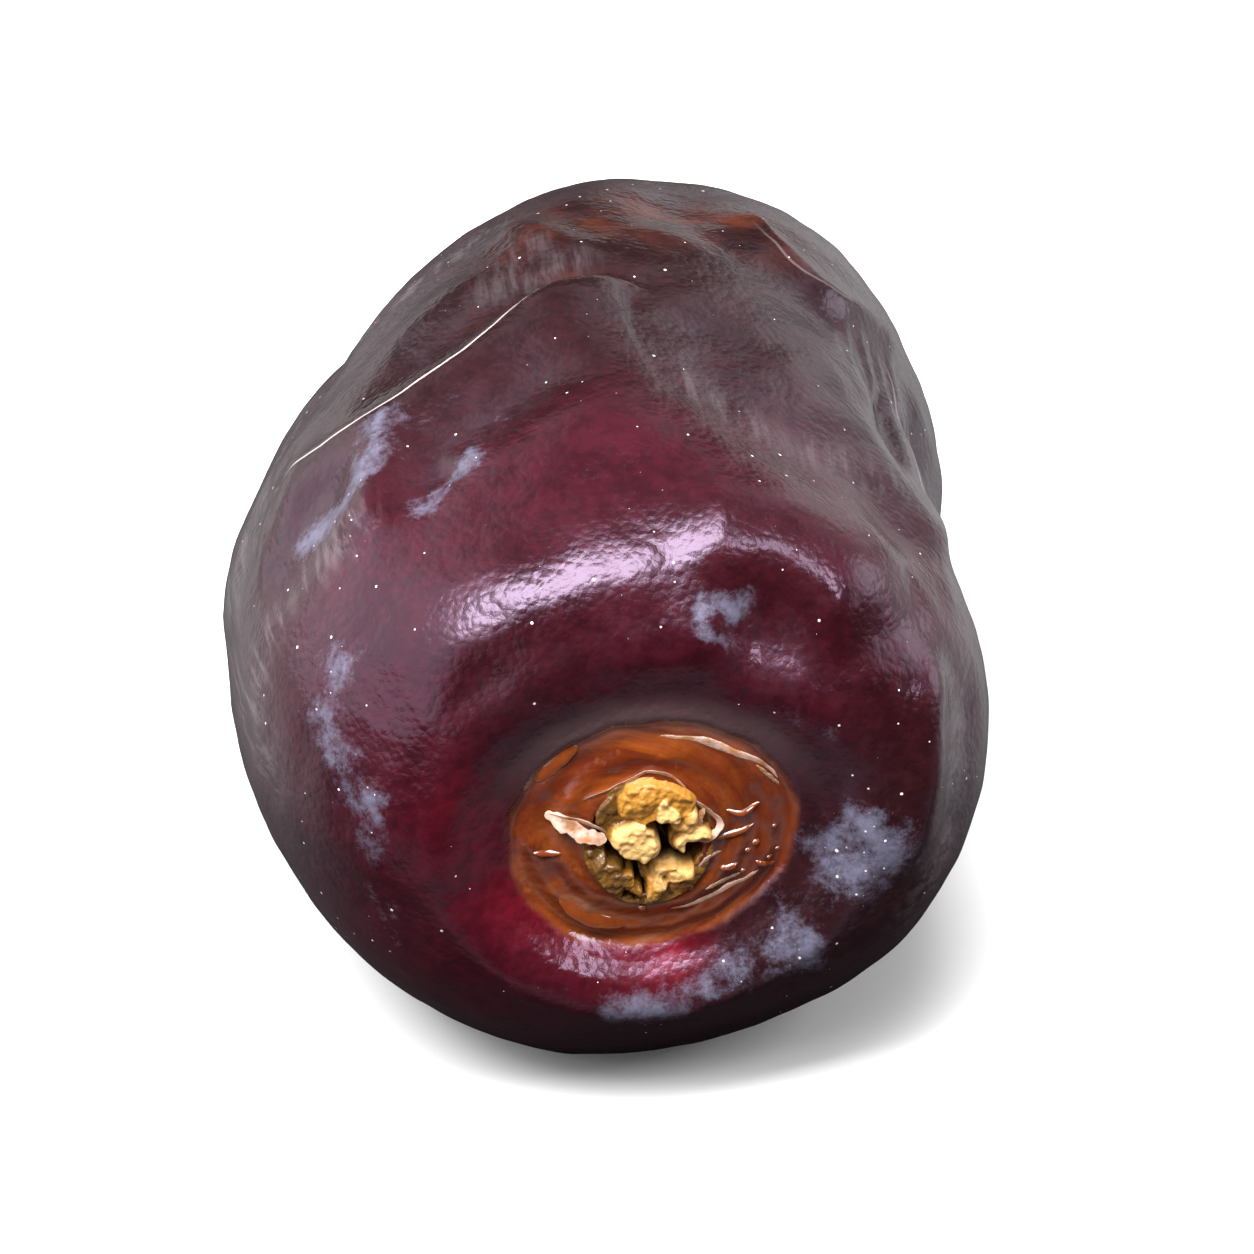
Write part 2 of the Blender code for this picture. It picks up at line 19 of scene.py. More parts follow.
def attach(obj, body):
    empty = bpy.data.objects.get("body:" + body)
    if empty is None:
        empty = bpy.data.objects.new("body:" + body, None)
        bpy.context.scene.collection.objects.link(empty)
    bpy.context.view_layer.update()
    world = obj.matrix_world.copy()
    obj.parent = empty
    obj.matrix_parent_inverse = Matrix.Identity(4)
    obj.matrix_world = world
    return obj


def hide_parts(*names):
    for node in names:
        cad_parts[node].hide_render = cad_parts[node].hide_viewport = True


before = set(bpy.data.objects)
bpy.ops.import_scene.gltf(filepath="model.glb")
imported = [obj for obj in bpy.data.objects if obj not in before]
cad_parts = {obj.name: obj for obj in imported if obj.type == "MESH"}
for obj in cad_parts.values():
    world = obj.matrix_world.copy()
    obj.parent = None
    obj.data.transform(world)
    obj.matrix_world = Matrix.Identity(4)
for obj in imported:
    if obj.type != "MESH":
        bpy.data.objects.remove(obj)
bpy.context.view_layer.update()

MM = 0.001
CREST_ROUNDING = 0.3       # radius at a fold's crest, as a share of its flank's width
FOLD_REACH = 3.2           # flank widths past which a fold no longer lifts the skin
STROKE_REACH = 2.6         # widths past which a stroke no longer colours the skin
FAR_BESIDE = 30.0          # furthest that the distance beside an edge is measured, in its widths
LOG = logging.getLogger("date")

Points = np.ndarray
Line = list[tuple[float, ...]]
Colour = tuple[float, float, float]


# Shapes of the skin

def smoothstep(low: float, high: float, value: np.ndarray) -> np.ndarray:
    """Go smoothly from 0 at low to 1 at high, as 3 t squared less 2 t cubed.

    Args:
        low: where the step starts.
        high: where it ends.
        value: numbers to step.

    Returns:
        The stepped numbers.
    """
    t = np.clip((value - low) / (high - low), 0.0, 1.0)
    return t * t * (3.0 - 2.0 * t)


def smooth_line(points: Line, pieces: int) -> Points:
    """Carry a Catmull-Rom curve through points, each stretch split in straight pieces.

    Args:
        points: the places that the curve goes through, in two or three dimensions.
        pieces: straight pieces in each stretch.

    Returns:
        The curve's points as one array.
    """
    knots = np.array(points, float)
    ends = np.vstack([2 * knots[0] - knots[1], knots, 2 * knots[-1] - knots[-2]])
    before, start, end, after = ends[:-3, None], ends[1:-2, None], ends[2:-1, None], ends[3:, None]
    t = (np.arange(pieces) / pieces)[None, :, None]
    curve = 0.5 * (2 * start + (end - before) * t
                   + (2 * before - 5 * start + 4 * end - after) * t ** 2
                   + (3 * start - before - 3 * end + after) * t ** 3)
    return np.vstack([curve.reshape(-1, knots.shape[1]), knots[-1:]])


def measure_to_line(line: Points, points: Points) -> tuple[np.ndarray, np.ndarray, Points, Points]:
    """Find the nearest place of a line for each point.

    Args:
        line: points of the line.
        points: places to measure from.

    Returns:
        The distance, the share of the line's length, the gap vector and the nearest piece's run.
    """
    starts, steps = line[:-1], line[1:] - line[:-1]
    lengths = np.linalg.norm(steps, axis=1)
    walked = np.concatenate([[0.0], np.cumsum(lengths)])
    best = np.full(len(points), np.inf)
    along = np.zeros(len(points))
    gaps = np.zeros(points.shape)
    runs = np.zeros(points.shape)
    for index, (start, step, length) in enumerate(zip(starts, steps, lengths)):
        offset = points - start
        share = np.clip(offset @ step / length ** 2, 0.0, 1.0)
        gap = offset - share[:, None] * step
        size = np.linalg.norm(gap, axis=1)
        closer = size < best
        best = np.where(closer, size, best)
        along = np.where(closer, (walked[index] + share * length) / walked[-1], along)
        gaps = np.where(closer[:, None], gap, gaps)
        runs = np.where(closer[:, None], step, runs)
    return best, along, gaps, runs


def ripples(points: Points, wavelength: float, waves: int, seed: int) -> np.ndarray:
    """Sum plane waves of one wavelength that run in random directions.

    The height is the sum of sin(2 pi d . p / wavelength + phase) over the waves, divided by the root
    of half their number, so that its usual size is 1.

    Args:
        points: places in millimetres.
        wavelength: distance from crest to crest.
        waves: how many waves are summed.
        seed: start of the random numbers.

    Returns:
        A height for each point.
    """
    random = np.random.default_rng(seed)
    total = np.zeros(points.shape[:-1])
    for _ in range(waves):
        direction = random.normal(size=points.shape[-1])
        direction *= 2 * math.pi / wavelength / np.linalg.norm(direction)
        total += np.sin(points @ direction + random.uniform(0.0, 2 * math.pi))
    return total / math.sqrt(waves / 2)


@dataclass(frozen=True)
class Bump:
    """A swelling (height over 0) or a hollow (under 0) round one point of the fruit."""

    centre: tuple[float, float, float]
    reach: tuple[float, float, float]
    height: float

    def lift(self, points: Points, outward: Points) -> np.ndarray:
        """Height over the plain barrel: height times exp(-(distance / reach) squared).

        Args:
            points: places on the plain barrel.
            outward: outward directions there, which only a fold needs.

        Returns:
            The lift of each point.
        """
        offset = (points - np.array(self.centre)) / np.array(self.reach)
        return self.height * np.exp(-np.sum(offset * offset, axis=-1))


@dataclass(frozen=True)
class Fold:
    """A crest (height over 0) or a crease (under 0) of the skin along a line of points.

    Seen from outside and walking along the points, its left flank is `left` wide and its right
    flank `right` wide. A power of 1 makes a sharp edge and 2 a round one. It fades at both ends.
    """

    points: Line
    height: float
    left: float
    right: float
    power: float = 2.0
    fade: float = 0.25

    def lift(self, points: Points, outward: Points) -> np.ndarray:
        """Height over the plain barrel: height times exp(-share to the power - off squared).

        The share is the distance along the skin over the flank's width, with the sharp crest
        rounded off, and off is how far the line lies above or below it over the mean width.

        Args:
            points: places on the plain barrel.
            outward: outward directions there.

        Returns:
            The lift of each point.
        """
        line = smooth_line(self.points, 5)
        reach = FOLD_REACH * max(self.left, self.right) + 0.2
        near = np.all((points > line.min(axis=0) - reach) & (points < line.max(axis=0) + reach), axis=-1)
        lift = np.zeros(points.shape[:-1])
        if not near.any():
            return lift
        _, along, gaps, runs = measure_to_line(line, points[near])
        on_left = np.sum(np.cross(outward[near], runs) * gaps, axis=1) > 0.0
        over = np.sum(gaps * outward[near], axis=1, keepdims=True) * outward[near]
        distance = np.linalg.norm(gaps - over, axis=1)
        share = np.hypot(distance / np.where(on_left, self.left, self.right), CREST_ROUNDING) - CREST_ROUNDING
        off = np.linalg.norm(over, axis=1) * 2.0 / (self.left + self.right)
        shape = np.exp(-share ** self.power - off ** 2)
        ends = smoothstep(0.0, self.fade, along) * smoothstep(0.0, self.fade, 1.0 - along)
        lift[near] = self.height * shape * ends
        return lift


@dataclass(frozen=True)
class Edge:
    """The sharp edge of a fold, with a painted highlight along its crest and a thin painted shadow on its
    left.

    It is strong up to `near` millimetres to each side and gone at `far`.
    """

    points: Line
    width: float
    strength: float
    fade: float
    near: float = 0.4
    far: float = 0.7

    def beside(self, points: Points, outward: Points) -> tuple[np.ndarray, np.ndarray]:
        """Distance to the left of the edge in units of its width, and how strong it is there.

        Args:
            points: places on the plain barrel.
            outward: outward directions there.

        Returns:
            The signed distances, up to FAR_BESIDE each way, and strengths from 0 to 1.
        """
        line = smooth_line(self.points, 6)
        beside = np.full(len(points), FAR_BESIDE)
        strength = np.zeros(len(points))
        reach = 1.6
        near = np.all((points > line.min(axis=0) - reach) & (points < line.max(axis=0) + reach), axis=-1)
        distance, along, gaps, runs = measure_to_line(line, points[near])
        left = np.cross(outward[near], runs)
        left /= np.linalg.norm(left, axis=1, keepdims=True)
        beside[near] = np.clip(np.sum(left * gaps, axis=1) / self.width, -FAR_BESIDE, FAR_BESIDE)
        strength[near] = self.strength * (smoothstep(0.0, self.fade, along)
                                          * smoothstep(0.0, self.fade, 1.0 - along)
                                          * (1.0 - smoothstep(self.near, self.far, distance)))
        return beside, strength


@dataclass(frozen=True)
class Stroke:
    """A soft stroke of one finish on the skin, along a line of places or round a single place."""

    points: Line
    width: float
    strength: float = 1.0

    def cover(self, points: Points) -> np.ndarray:
        """How much of the stroke lies at each point: strength times exp(-(distance / width) squared).

        Args:
            points: places on the plain barrel.

        Returns:
            Cover from 0 to the strength.
        """
        cover = np.zeros(points.shape[:-1])
        line = np.array(self.points, float) if len(self.points) < 2 else smooth_line(self.points, 4)
        reach = STROKE_REACH * self.width
        near = np.all((points > line.min(axis=0) - reach) & (points < line.max(axis=0) + reach), axis=-1)
        if not near.any():
            return cover
        if len(line) < 2:
            distance = np.linalg.norm(points[near] - line[0], axis=-1)
        else:
            distance = measure_to_line(line, points[near])[0]
        cover[near] = self.strength * np.exp(-(distance / self.width) ** 2)
        return cover


def lay_over(strokes: list[Stroke], points: Points) -> np.ndarray:
    """Lay strokes over each other as thin coats: 1 less the product of what each leaves bare.

    Args:
        strokes: the strokes.
        points: places on the plain barrel.

    Returns:
        The cover at each point, from 0 to 1.
    """
    bare = np.ones(points.shape[:-1])
    for stroke in strokes:
        bare *= 1.0 - np.clip(stroke.cover(points), 0.0, 1.0)
    return 1.0 - bare


# The crest of the long pleat on the left of the top
PLEAT = [(-10.6, -2.1, 16.2), (-9.9, -3.1, 17.6), (-8.6, -3.9, 19.2), (-7.2, -4.1, 20.4), (-5.7, -3.6, 21.3),
         (-4.1, -2.6, 21.8), (-2.7, -1.5, 22.1), (-1.2, -0.6, 22.3), (0.0, 0.1, 22.4), (0.9, 0.4, 22.4),
         (1.9, 0.0, 22.3)]


def main_folds() -> list[Bump | Fold]:
    """The folds and hollows that the CAD solid has too, at nearly the same places.

    Returns:
        Folds and bumps, in the order in which they add up.
    """
    return [
        # Top: the long sharp pleat on the left, which rises to a peak, the hollow before it and the
        # soft ridge that runs down from the peak towards the stem end
        Fold(PLEAT, 0.5, 0.7, 1.9, 1.4, 0.16),
        Fold([(-8.2, -1.4, 19.2), (-6.4, -1.8, 20.6), (-3.9, -0.6, 21.6), (-1.2, 1.8, 21.9),
              (0.8, 3.2, 21.8)], -0.36, 1.5, 1.2, 2.0, 0.3),
        Fold([(-8.0, -6.8, 19.4), (-5.4, -6.4, 21.1), (-3.0, -5.2, 22.0), (-1.2, -3.4, 22.3)],
             -0.65, 1.7, 1.6, 2.0, 0.3),
        Fold([(0.9, 0.2, 22.3), (0.6, -2.4, 22.4), (0.6, -5.0, 22.3), (1.2, -7.6, 22.1), (2.6, -9.2, 21.7),
              (4.6, -10.4, 21.0), (6.8, -10.6, 19.8), (8.8, -9.8, 18.0)], 0.4, 1.9, 2.8, 2.0, 0.12),
        # The valley between that ridge, the shoulder over the scar and the flat back of the fruit
        Fold([(1.8, 0.4, 22.2), (2.0, -2.0, 22.3), (2.4, -4.6, 22.2), (3.2, -6.8, 21.9), (4.8, -8.4, 21.2),
              (6.6, -9.0, 20.2), (8.6, -8.2, 18.6), (10.2, -7.0, 16.6)], -0.5, 3.0, 1.6, 2.0, 0.16),
        Fold([(0.7, 1.0, 22.1), (-0.4, 3.0, 21.9), (-1.6, 5.6, 21.3), (-2.4, 8.0, 20.2)],
             0.4, 0.8, 0.9, 1.4, 0.3),
        # Left shoulder: three small folds below the pleat's low end
        Fold([(-6.9, -3.6, 20.8), (-7.1, -5.2, 20.6), (-7.4, -6.8, 20.2), (-7.9, -8.4, 19.5),
              (-8.8, -9.6, 18.2)], 0.42, 0.9, 0.8, 1.6, 0.25),
        Fold([(-8.6, -4.8, 19.1), (-9.2, -6.0, 18.5), (-10.2, -7.2, 17.1), (-11.3, -7.8, 15.2)],
             -0.4, 1.2, 1.1, 2.0, 0.3),
        Fold([(-5.2, -7.4, 21.2), (-6.2, -8.6, 20.6), (-7.2, -10.0, 19.6)], -0.3, 0.9, 0.8, 2.0, 0.35),
        # Right of the tip: a stepped crease, and the pinched skin that runs down the right side
        Fold([(5.6, 9.4, 19.6), (6.4, 7.0, 20.0), (7.0, 4.8, 19.9), (8.0, 3.8, 19.1), (9.4, 4.6, 17.8),
              (10.6, 5.6, 16.2), (11.3, 5.4, 14.6)], 0.6, 0.5, 0.8, 1.2, 0.2),
        Fold([(5.0, 6.2, 20.8), (6.2, 3.4, 20.5), (8.0, 2.2, 19.3), (9.9, 2.6, 17.6)],
             -0.15, 1.2, 1.2, 2.0, 0.3),
        Fold([(10.4, 5.6, 16.4), (10.8, 2.6, 15.9), (10.9, -0.6, 15.8), (10.8, -4.4, 15.9),
              (10.4, -8.4, 16.4)], 0.42, 0.5, 0.7, 1.3, 0.2),
        Fold([(12.6, 4.6, 12.4), (12.4, 0.0, 13.2), (12.4, -4.6, 13.0), (12.6, -8.6, 12.4)],
             -0.9, 2.0, 2.4, 2.0, 0.3),
        Fold([(10.0, 2.0, 17.4), (9.9, -1.0, 17.4), (9.8, -4.0, 17.5)], -0.35, 0.6, 0.6, 2.0, 0.3),
        # Stem end: the tight shoulder with its hooked end, the hollow under it, the dent above the
        # scar and the facet on the right
        Fold([(-8.4, -13.4, 16.4), (-6.7, -14.2, 18.1), (-3.9, -14.2, 19.8), (-0.6, -13.7, 20.6),
              (2.0, -13.2, 20.7), (4.4, -13.0, 20.1), (6.0, -13.8, 18.8), (7.2, -14.7, 17.0)],
             0.14, 1.8, 1.3, 2.0, 0.15),
        Fold([(0.6, -13.5, 20.7), (2.4, -13.2, 20.7), (3.8, -13.0, 20.3), (5.0, -13.3, 19.6),
              (6.1, -14.0, 18.5), (6.9, -14.8, 17.0)], 0.55, 1.7, 1.3, 1.9, 0.25),
        Fold([(-6.6, -15.6, 15.4), (-4.2, -15.8, 17.2), (-1.2, -15.7, 18.2), (1.6, -15.4, 18.6)],
             -0.28, 1.2, 1.2, 2.0, 0.3),
        Bump((3.9, -15.4, 18.1), (1.6, 2.4, 1.6), -0.8),
        Fold([(9.4, -12.8, 16.6), (9.0, -14.4, 15.0), (8.9, -15.4, 13.0), (8.6, -15.8, 11.0),
              (7.8, -16.0, 8.8)], 0.45, 0.8, 0.9, 1.3, 0.25),
        Fold([(11.2, -11.6, 15.4), (10.6, -13.4, 13.0), (10.2, -14.2, 10.4), (9.6, -14.6, 8.0)],
             -0.35, 1.1, 1.3, 2.0, 0.3),
        Bump((6.6, -16.6, 12.4), (1.7, 2.0, 2.6), -0.5),
        Bump((-1.4, -16.9, 6.6), (2.6, 1.6, 1.4), 0.2),
        # Lip under the scar, steep on its upper side
        Fold([(-4.9, -16.7, 9.6), (-3.8, -16.8, 7.9), (-2.2, -16.9, 6.7), (-0.3, -16.9, 6.3),
              (1.8, -16.9, 6.6), (3.6, -16.8, 7.4)], 0.36, 0.45, 1.5, 1.6, 0.3),
        Bump((-4.2, -14.4, 19.2), (3.6, 2.4, 1.8), 0.15),
        # Broad flat places of the sides
        Bump((-8.4, 3.0, 18.4), (4.0, 5.5, 3.2), -0.55),
        Bump((-10.4, -12.0, 8.2), (3.6, 4.0, 3.0), -0.4),
        Bump((3.8, -13.4, 2.4), (4.0, 3.4, 2.6), -0.25),
        Bump((-3.8, 7.6, 20.4), (4.0, 4.0, 3.0), -0.45),
        Bump((5.6, 9.4, 19.6), (3.4, 4.0, 2.6), -0.3),
        # Belly that has sagged where the fruit lies
        Bump((0.7, 0.4, 0.2), (8.0, 9.0, 4.0), 0.5),
        Bump((10.8, 2.0, 16.4), (3.4, 6.5, 3.2), -0.7),
        # Left side: long folds towards the tip
        Fold([(-12.2, -6.0, 12.6), (-12.3, -1.0, 12.8), (-11.0, 5.0, 12.6), (-7.4, 11.0, 12.0)],
             0.4, 0.9, 1.5, 1.4, 0.25),
        Fold([(-12.0, -5.0, 10.2), (-11.9, 0.0, 10.0), (-10.4, 6.0, 10.0), (-6.6, 12.0, 10.4)],
             -0.55, 1.5, 1.1, 2.0, 0.25),
        Fold([(-10.6, 1.6, 16.4), (-9.0, 6.0, 16.6), (-5.8, 10.8, 15.8), (-2.4, 14.0, 14.2)],
             -0.45, 1.0, 1.3, 2.0, 0.3),
        Fold([(-9.8, 0.6, 6.2), (-8.4, 6.0, 6.6), (-5.0, 11.4, 8.0)], -0.4, 1.1, 1.1, 2.0, 0.3),
        # Far end of the top: the skin is drawn in to the tip
        Fold([(3.2, 4.4, 21.6), (3.6, 8.6, 20.4), (3.9, 12.2, 17.6), (4.0, 14.8, 14.6)],
             -0.4, 1.1, 1.1, 2.0, 0.3),
        Fold([(0.2, 6.4, 21.0), (0.8, 10.0, 19.0), (2.0, 13.4, 15.8)], 0.3, 0.8, 0.8, 1.4, 0.3),
        Fold([(7.4, 9.0, 18.4), (6.9, 12.0, 16.0), (5.6, 14.6, 13.4)], -0.35, 0.9, 0.9, 2.0, 0.3),
        # Right side and underside
        Fold([(13.4, 2.0, 10.0), (12.8, 7.0, 10.4), (10.4, 12.0, 10.8)], 0.35, 1.0, 0.8, 1.4, 0.3),
        Fold([(12.6, 0.6, 7.4), (12.0, 6.0, 8.0), (9.2, 12.0, 9.4)], -0.5, 1.1, 1.2, 2.0, 0.3),
        Fold([(9.8, -4.0, 3.6), (10.0, 2.0, 4.4), (9.0, 8.0, 6.2), (6.6, 13.2, 8.8)],
             -0.4, 1.1, 1.1, 2.0, 0.3),
        Fold([(-5.6, 4.0, 3.4), (-2.6, 9.6, 5.2), (1.2, 13.6, 8.0)], 0.35, 0.9, 0.9, 1.4, 0.3),
        Fold([(3.4, 6.4, 3.2), (3.6, 11.0, 5.6), (3.8, 14.6, 8.8)], -0.4, 1.1, 1.1, 2.0, 0.3),
    ]


def thin_wrinkles() -> list[Bump | Fold]:
    """Fine wrinkles that only the looks have.

    Returns:
        Folds.
    """
    return [
        # The sharp peak, and the curl at the pleat's high end with the dark hollow behind it
        Fold([(-3.4, -2.2, 22.0), (-1.2, -0.9, 22.3), (0.0, -0.2, 22.4), (1.0, 0.1, 22.4),
              (2.2, 0.0, 22.3)], 0.3, 0.4, 0.9, 1.3, 0.35),
        Fold([(-2.6, -0.6, 22.1), (-1.0, 0.2, 22.3), (0.4, 0.9, 22.3), (1.8, 0.6, 22.2), (2.6, -0.8, 22.2)],
             -0.22, 0.45, 0.35, 1.8, 0.3),
        Fold([(-3.4, 3.0, 21.7), (-1.6, 2.0, 22.0), (0.2, 1.4, 22.2)], 0.14, 0.4, 0.4, 1.6, 0.35),
        # Small wrinkles that fan out from the crease on the right
        Fold([(9.2, 4.0, 18.2), (9.8, 1.6, 17.6), (9.9, -1.2, 17.5)], 0.14, 0.25, 0.25, 1.6, 0.3),
        Fold([(9.9, 4.6, 17.1), (10.4, 1.8, 16.7), (10.5, -1.6, 16.6), (10.4, -4.8, 16.8)],
             0.16, 0.25, 0.25, 1.6, 0.3),
        Fold([(10.8, 5.0, 15.6), (11.4, 2.2, 14.8), (11.6, -1.0, 14.6), (11.6, -4.6, 14.6)],
             0.18, 0.3, 0.3, 1.6, 0.3),
        Fold([(8.6, 3.6, 18.8), (8.8, 1.8, 18.6), (8.7, 0.0, 18.7)], 0.1, 0.25, 0.25, 1.6, 0.35),
        # Fine lines on the left flank, parallel to its edge
        Fold([(-11.2, -9.0, 15.2), (-11.0, -6.0, 15.8), (-10.6, -3.0, 16.4), (-9.6, 0.4, 17.4)],
             0.12, 0.3, 0.3, 1.6, 0.3),
        Fold([(-11.8, -8.0, 13.6), (-11.9, -4.0, 14.0), (-11.3, 0.0, 14.8), (-10.2, 3.4, 15.6)],
             0.12, 0.35, 0.35, 1.6, 0.3),
    ]


@dataclass(frozen=True)
class Barrel:
    """The plain body of the fruit: a barrel with blunt ends that tapers and leans to its tip."""

    length: float = 34.0
    width: float = 25.0
    height: float = 22.6
    stem_power: float = 3.5
    tip_power: float = 2.75
    left_taper: float = 0.30
    right_taper: float = 0.17
    top_taper: float = 0.18
    under_taper: float = 0.20
    lean: float = 1.7
    bend: float = 2.4
    sag: float = 0.3
    scar_aside: float = -0.5
    scar_up: float = 0.6

    @property
    def scar_x(self) -> float:
        """Where the scar's middle lies across."""
        return self.bend - self.lean + self.scar_aside

    @property
    def scar_z(self) -> float:
        """How high the scar's middle lies."""
        return self.height / 2 - self.sag + self.scar_up

    def surface(self, psi: np.ndarray, phi: np.ndarray) -> tuple[Points, Points]:
        """Points and outward directions of the plain barrel.

        Each cut along the fruit is a superellipse: the power-th powers of its length and breadth
        add up to 1. The breadth shrinks with the square of the way to the tip, and the middle line
        is a parabola.

        Args:
            psi: 0 at the middle of the stem end, pi at the tip.
            phi: turn round the fruit, from +x towards +z.

        Returns:
            The points and the outward directions.
        """
        power = np.where(psi < math.pi / 2, self.stem_power, self.tip_power)
        along, across = np.cos(psi), np.abs(np.sin(psi))
        stretch = (np.abs(along) ** power + across ** power) ** (-1.0 / power)
        q, rho = -along * stretch, across * stretch
        right, upper = (1.0 + np.cos(phi)) / 2.0, (1.0 + np.sin(phi)) / 2.0
        to_tip = ((q + 1.0) / 2.0) ** 2
        half_width = self.width / 2 * (1.0 - to_tip * (self.right_taper * right
                                                       + self.left_taper * (1.0 - right)))
        half_height = self.height / 2 * (1.0 - to_tip * (self.top_taper * upper
                                                         + self.under_taper * (1.0 - upper)))
        at_scar = np.where(q < 0.0, (1.0 - rho ** 2) ** 2, 0.0)
        x = half_width * rho * np.cos(phi) + self.lean * q + self.bend * q * q + self.scar_aside * at_scar
        z = half_height * rho * np.sin(phi) + self.height / 2 - self.sag * q * q + self.scar_up * at_scar
        outward = np.stack([rho ** (power - 1) * np.cos(phi) / half_width,
                            np.sign(q) * np.abs(q) ** (power - 1) / (self.length / 2),
                            rho ** (power - 1) * np.sin(phi) / half_height], axis=-1)
        outward /= np.linalg.norm(outward, axis=-1, keepdims=True)
        return np.stack([x, self.length / 2 * q, z], axis=-1), outward


@dataclass(frozen=True)
class StemEnd:
    """The basin at the stem end, the amber scar in it and the hole of the stalk."""

    basin_depth: float = 1.3
    basin_floor: float = 4.3
    basin_reach: float = 7.3
    basin_reach_below: float = 6.7
    scar_radius: float = 4.55
    scar_flat_top: float = 0.12
    scar_step: float = 0.28
    scar_dome: float = 0.5
    ring_pitch: float = 0.95
    ring_height: float = 0.05
    hole_x: float = -0.1
    hole_z: float = -0.3
    hole_half_width: float = 1.86
    hole_half_height: float = 2.18
    hole_depth: float = 1.7
    hole_wall: float = 0.2
    lump_height: float = 0.03
    lump_pitch: float = 2.4

    def to_edge(self, x: np.ndarray, z: np.ndarray) -> np.ndarray:
        """Distance from the scar's middle as a share of the distance to its edge.

        Args:
            x: places across, from the scar's middle.
            z: places up.

        Returns:
            Shares, 1 at the edge.
        """
        turn = np.arctan2(z, x)
        edge = self.scar_radius * (1.0 + 0.025 * np.sin(2 * turn + 0.6) + 0.015 * np.sin(3 * turn + 2.0)
                                   + 0.006 * np.sin(11 * turn) + 0.005 * np.sin(17 * turn + 1.0)
                                   - self.scar_flat_top * np.clip(np.sin(turn), 0.0, 1.0) ** 2)
        return np.hypot(x, z) / edge

    def to_rim(self, x: np.ndarray, z: np.ndarray) -> np.ndarray:
        """Distance from the hole's middle as a share of the distance to its torn rim.

        Args:
            x: places across, from the scar's middle.
            z: places up.

        Returns:
            Shares, 1 at the rim.
        """
        across, up = x - self.hole_x, z - self.hole_z
        turn = np.arctan2(up, across)
        torn = 1.0 + 0.05 * np.sin(3 * turn + 0.8) + 0.03 * np.sin(5 * turn) + 0.02 * np.sin(13 * turn)
        return np.hypot(across / self.hole_half_width, up / self.hole_half_height) / torn

    def floor(self, x: np.ndarray, z: np.ndarray) -> np.ndarray:
        """How far the basin and the scar lie in from the plain barrel, with the hole bridged.

        The basin and the step down at the scar's edge add up. The scar's dome, its rings, a
        cosine of the distance, and its soft lumps, ripples of two lengths, come off.

        Args:
            x: places across, from the scar's middle.
            z: places up.

        Returns:
            Depths in millimetres.
        """
        r = np.hypot(x, z)
        below = smoothstep(0.2, 1.0, -np.sin(np.arctan2(z, x)))
        reach = self.basin_reach + (self.basin_reach_below - self.basin_reach) * below
        basin = self.basin_depth * (1.0 - smoothstep(self.basin_floor, reach, r))
        inside = self.to_edge(x, z)
        step = self.scar_step * (1.0 - smoothstep(0.93, 1.03, inside))
        dome = self.scar_dome * np.clip(1.0 - inside ** 2, 0.0, 1.0)
        on_scar = 1.0 - smoothstep(0.85, 0.98, inside)
        rings = self.ring_height * np.cos(2 * math.pi * r / self.ring_pitch) * on_scar
        places = np.stack([x, z], axis=-1)
        lumps = ripples(places, self.lump_pitch, 7, 21) + 0.4 * ripples(places, 0.4 * self.lump_pitch, 7, 22)
        return basin + step - dome - rings - self.lump_height * lumps * on_scar

    def depth(self, x: np.ndarray, z: np.ndarray) -> np.ndarray:
        """How far the stem end lies in from the plain barrel, with its hole.

        Args:
            x: places across, from the scar's middle.
            z: places up.

        Returns:
            Depths in millimetres.
        """
        hole = self.hole_depth * (1.0 - smoothstep(1.0 - self.hole_wall, 1.0, self.to_rim(x, z)))
        return self.floor(x, z) + hole


@dataclass(frozen=True)
class Tip:
    """The dimple at the tip, with the small point in it."""

    dimple_depth: float = 0.9
    dimple_radius: float = 2.1
    point_height: float = 0.55
    point_radius: float = 0.55

    def depth(self, x: np.ndarray, z: np.ndarray) -> np.ndarray:
        """How far the tip lies in: a bell-shaped dimple less a narrower bell-shaped point.

        Args:
            x: places across, from the tip's middle.
            z: places up.

        Returns:
            Depths in millimetres.
        """
        r = np.hypot(x, z)
        dimple = self.dimple_depth * np.exp(-(r / self.dimple_radius) ** 2)
        return dimple - self.point_height * np.exp(-(r / self.point_radius) ** 2)


# Nets of faces

def ring_quads(first_count: int, next_count: int, first: int, following: int) -> np.ndarray:
    """Join two neighbouring rings with four-sided faces that face out of the fruit.

    Rings of one size are joined straight across. Where the next ring has 8 points more or fewer,
    its four corners take the two points over on each side.

    Args:
        first_count: points in the first ring.
        next_count: points in the next ring.
        first: number of the first ring's first point.
        following: number of the next ring's first point.

    Returns:
        Faces, one row of four point numbers each.
    """
    if first_count == next_count:
        k = np.arange(first_count)
        onward = (k + 1) % first_count
        return np.stack([first + k, following + k, following + onward, first + onward], axis=1)
    growing = next_count > first_count
    small, large = (first, following) if growing else (following, first)
    small_count, large_count = sorted((first_count, next_count))
    steps = small_count // 4
    side = np.arange(4)[:, None]
    k = (side * steps + np.arange(steps)[None, :]).ravel()
    across = (side * (large_count // 4) + np.arange(steps)[None, :] + 1).ravel()
    sides = np.stack([small + k, small + (k + 1) % small_count, large + across + 1, large + across], axis=1)
    corner = np.arange(4) * (large_count // 4)
    corners = np.stack([small + np.arange(4) * steps, large + corner + 1, large + corner,
                        large + (corner - 1) % large_count], axis=1)
    quads = np.concatenate([sides, corners])
    return quads[:, ::-1] if growing else quads


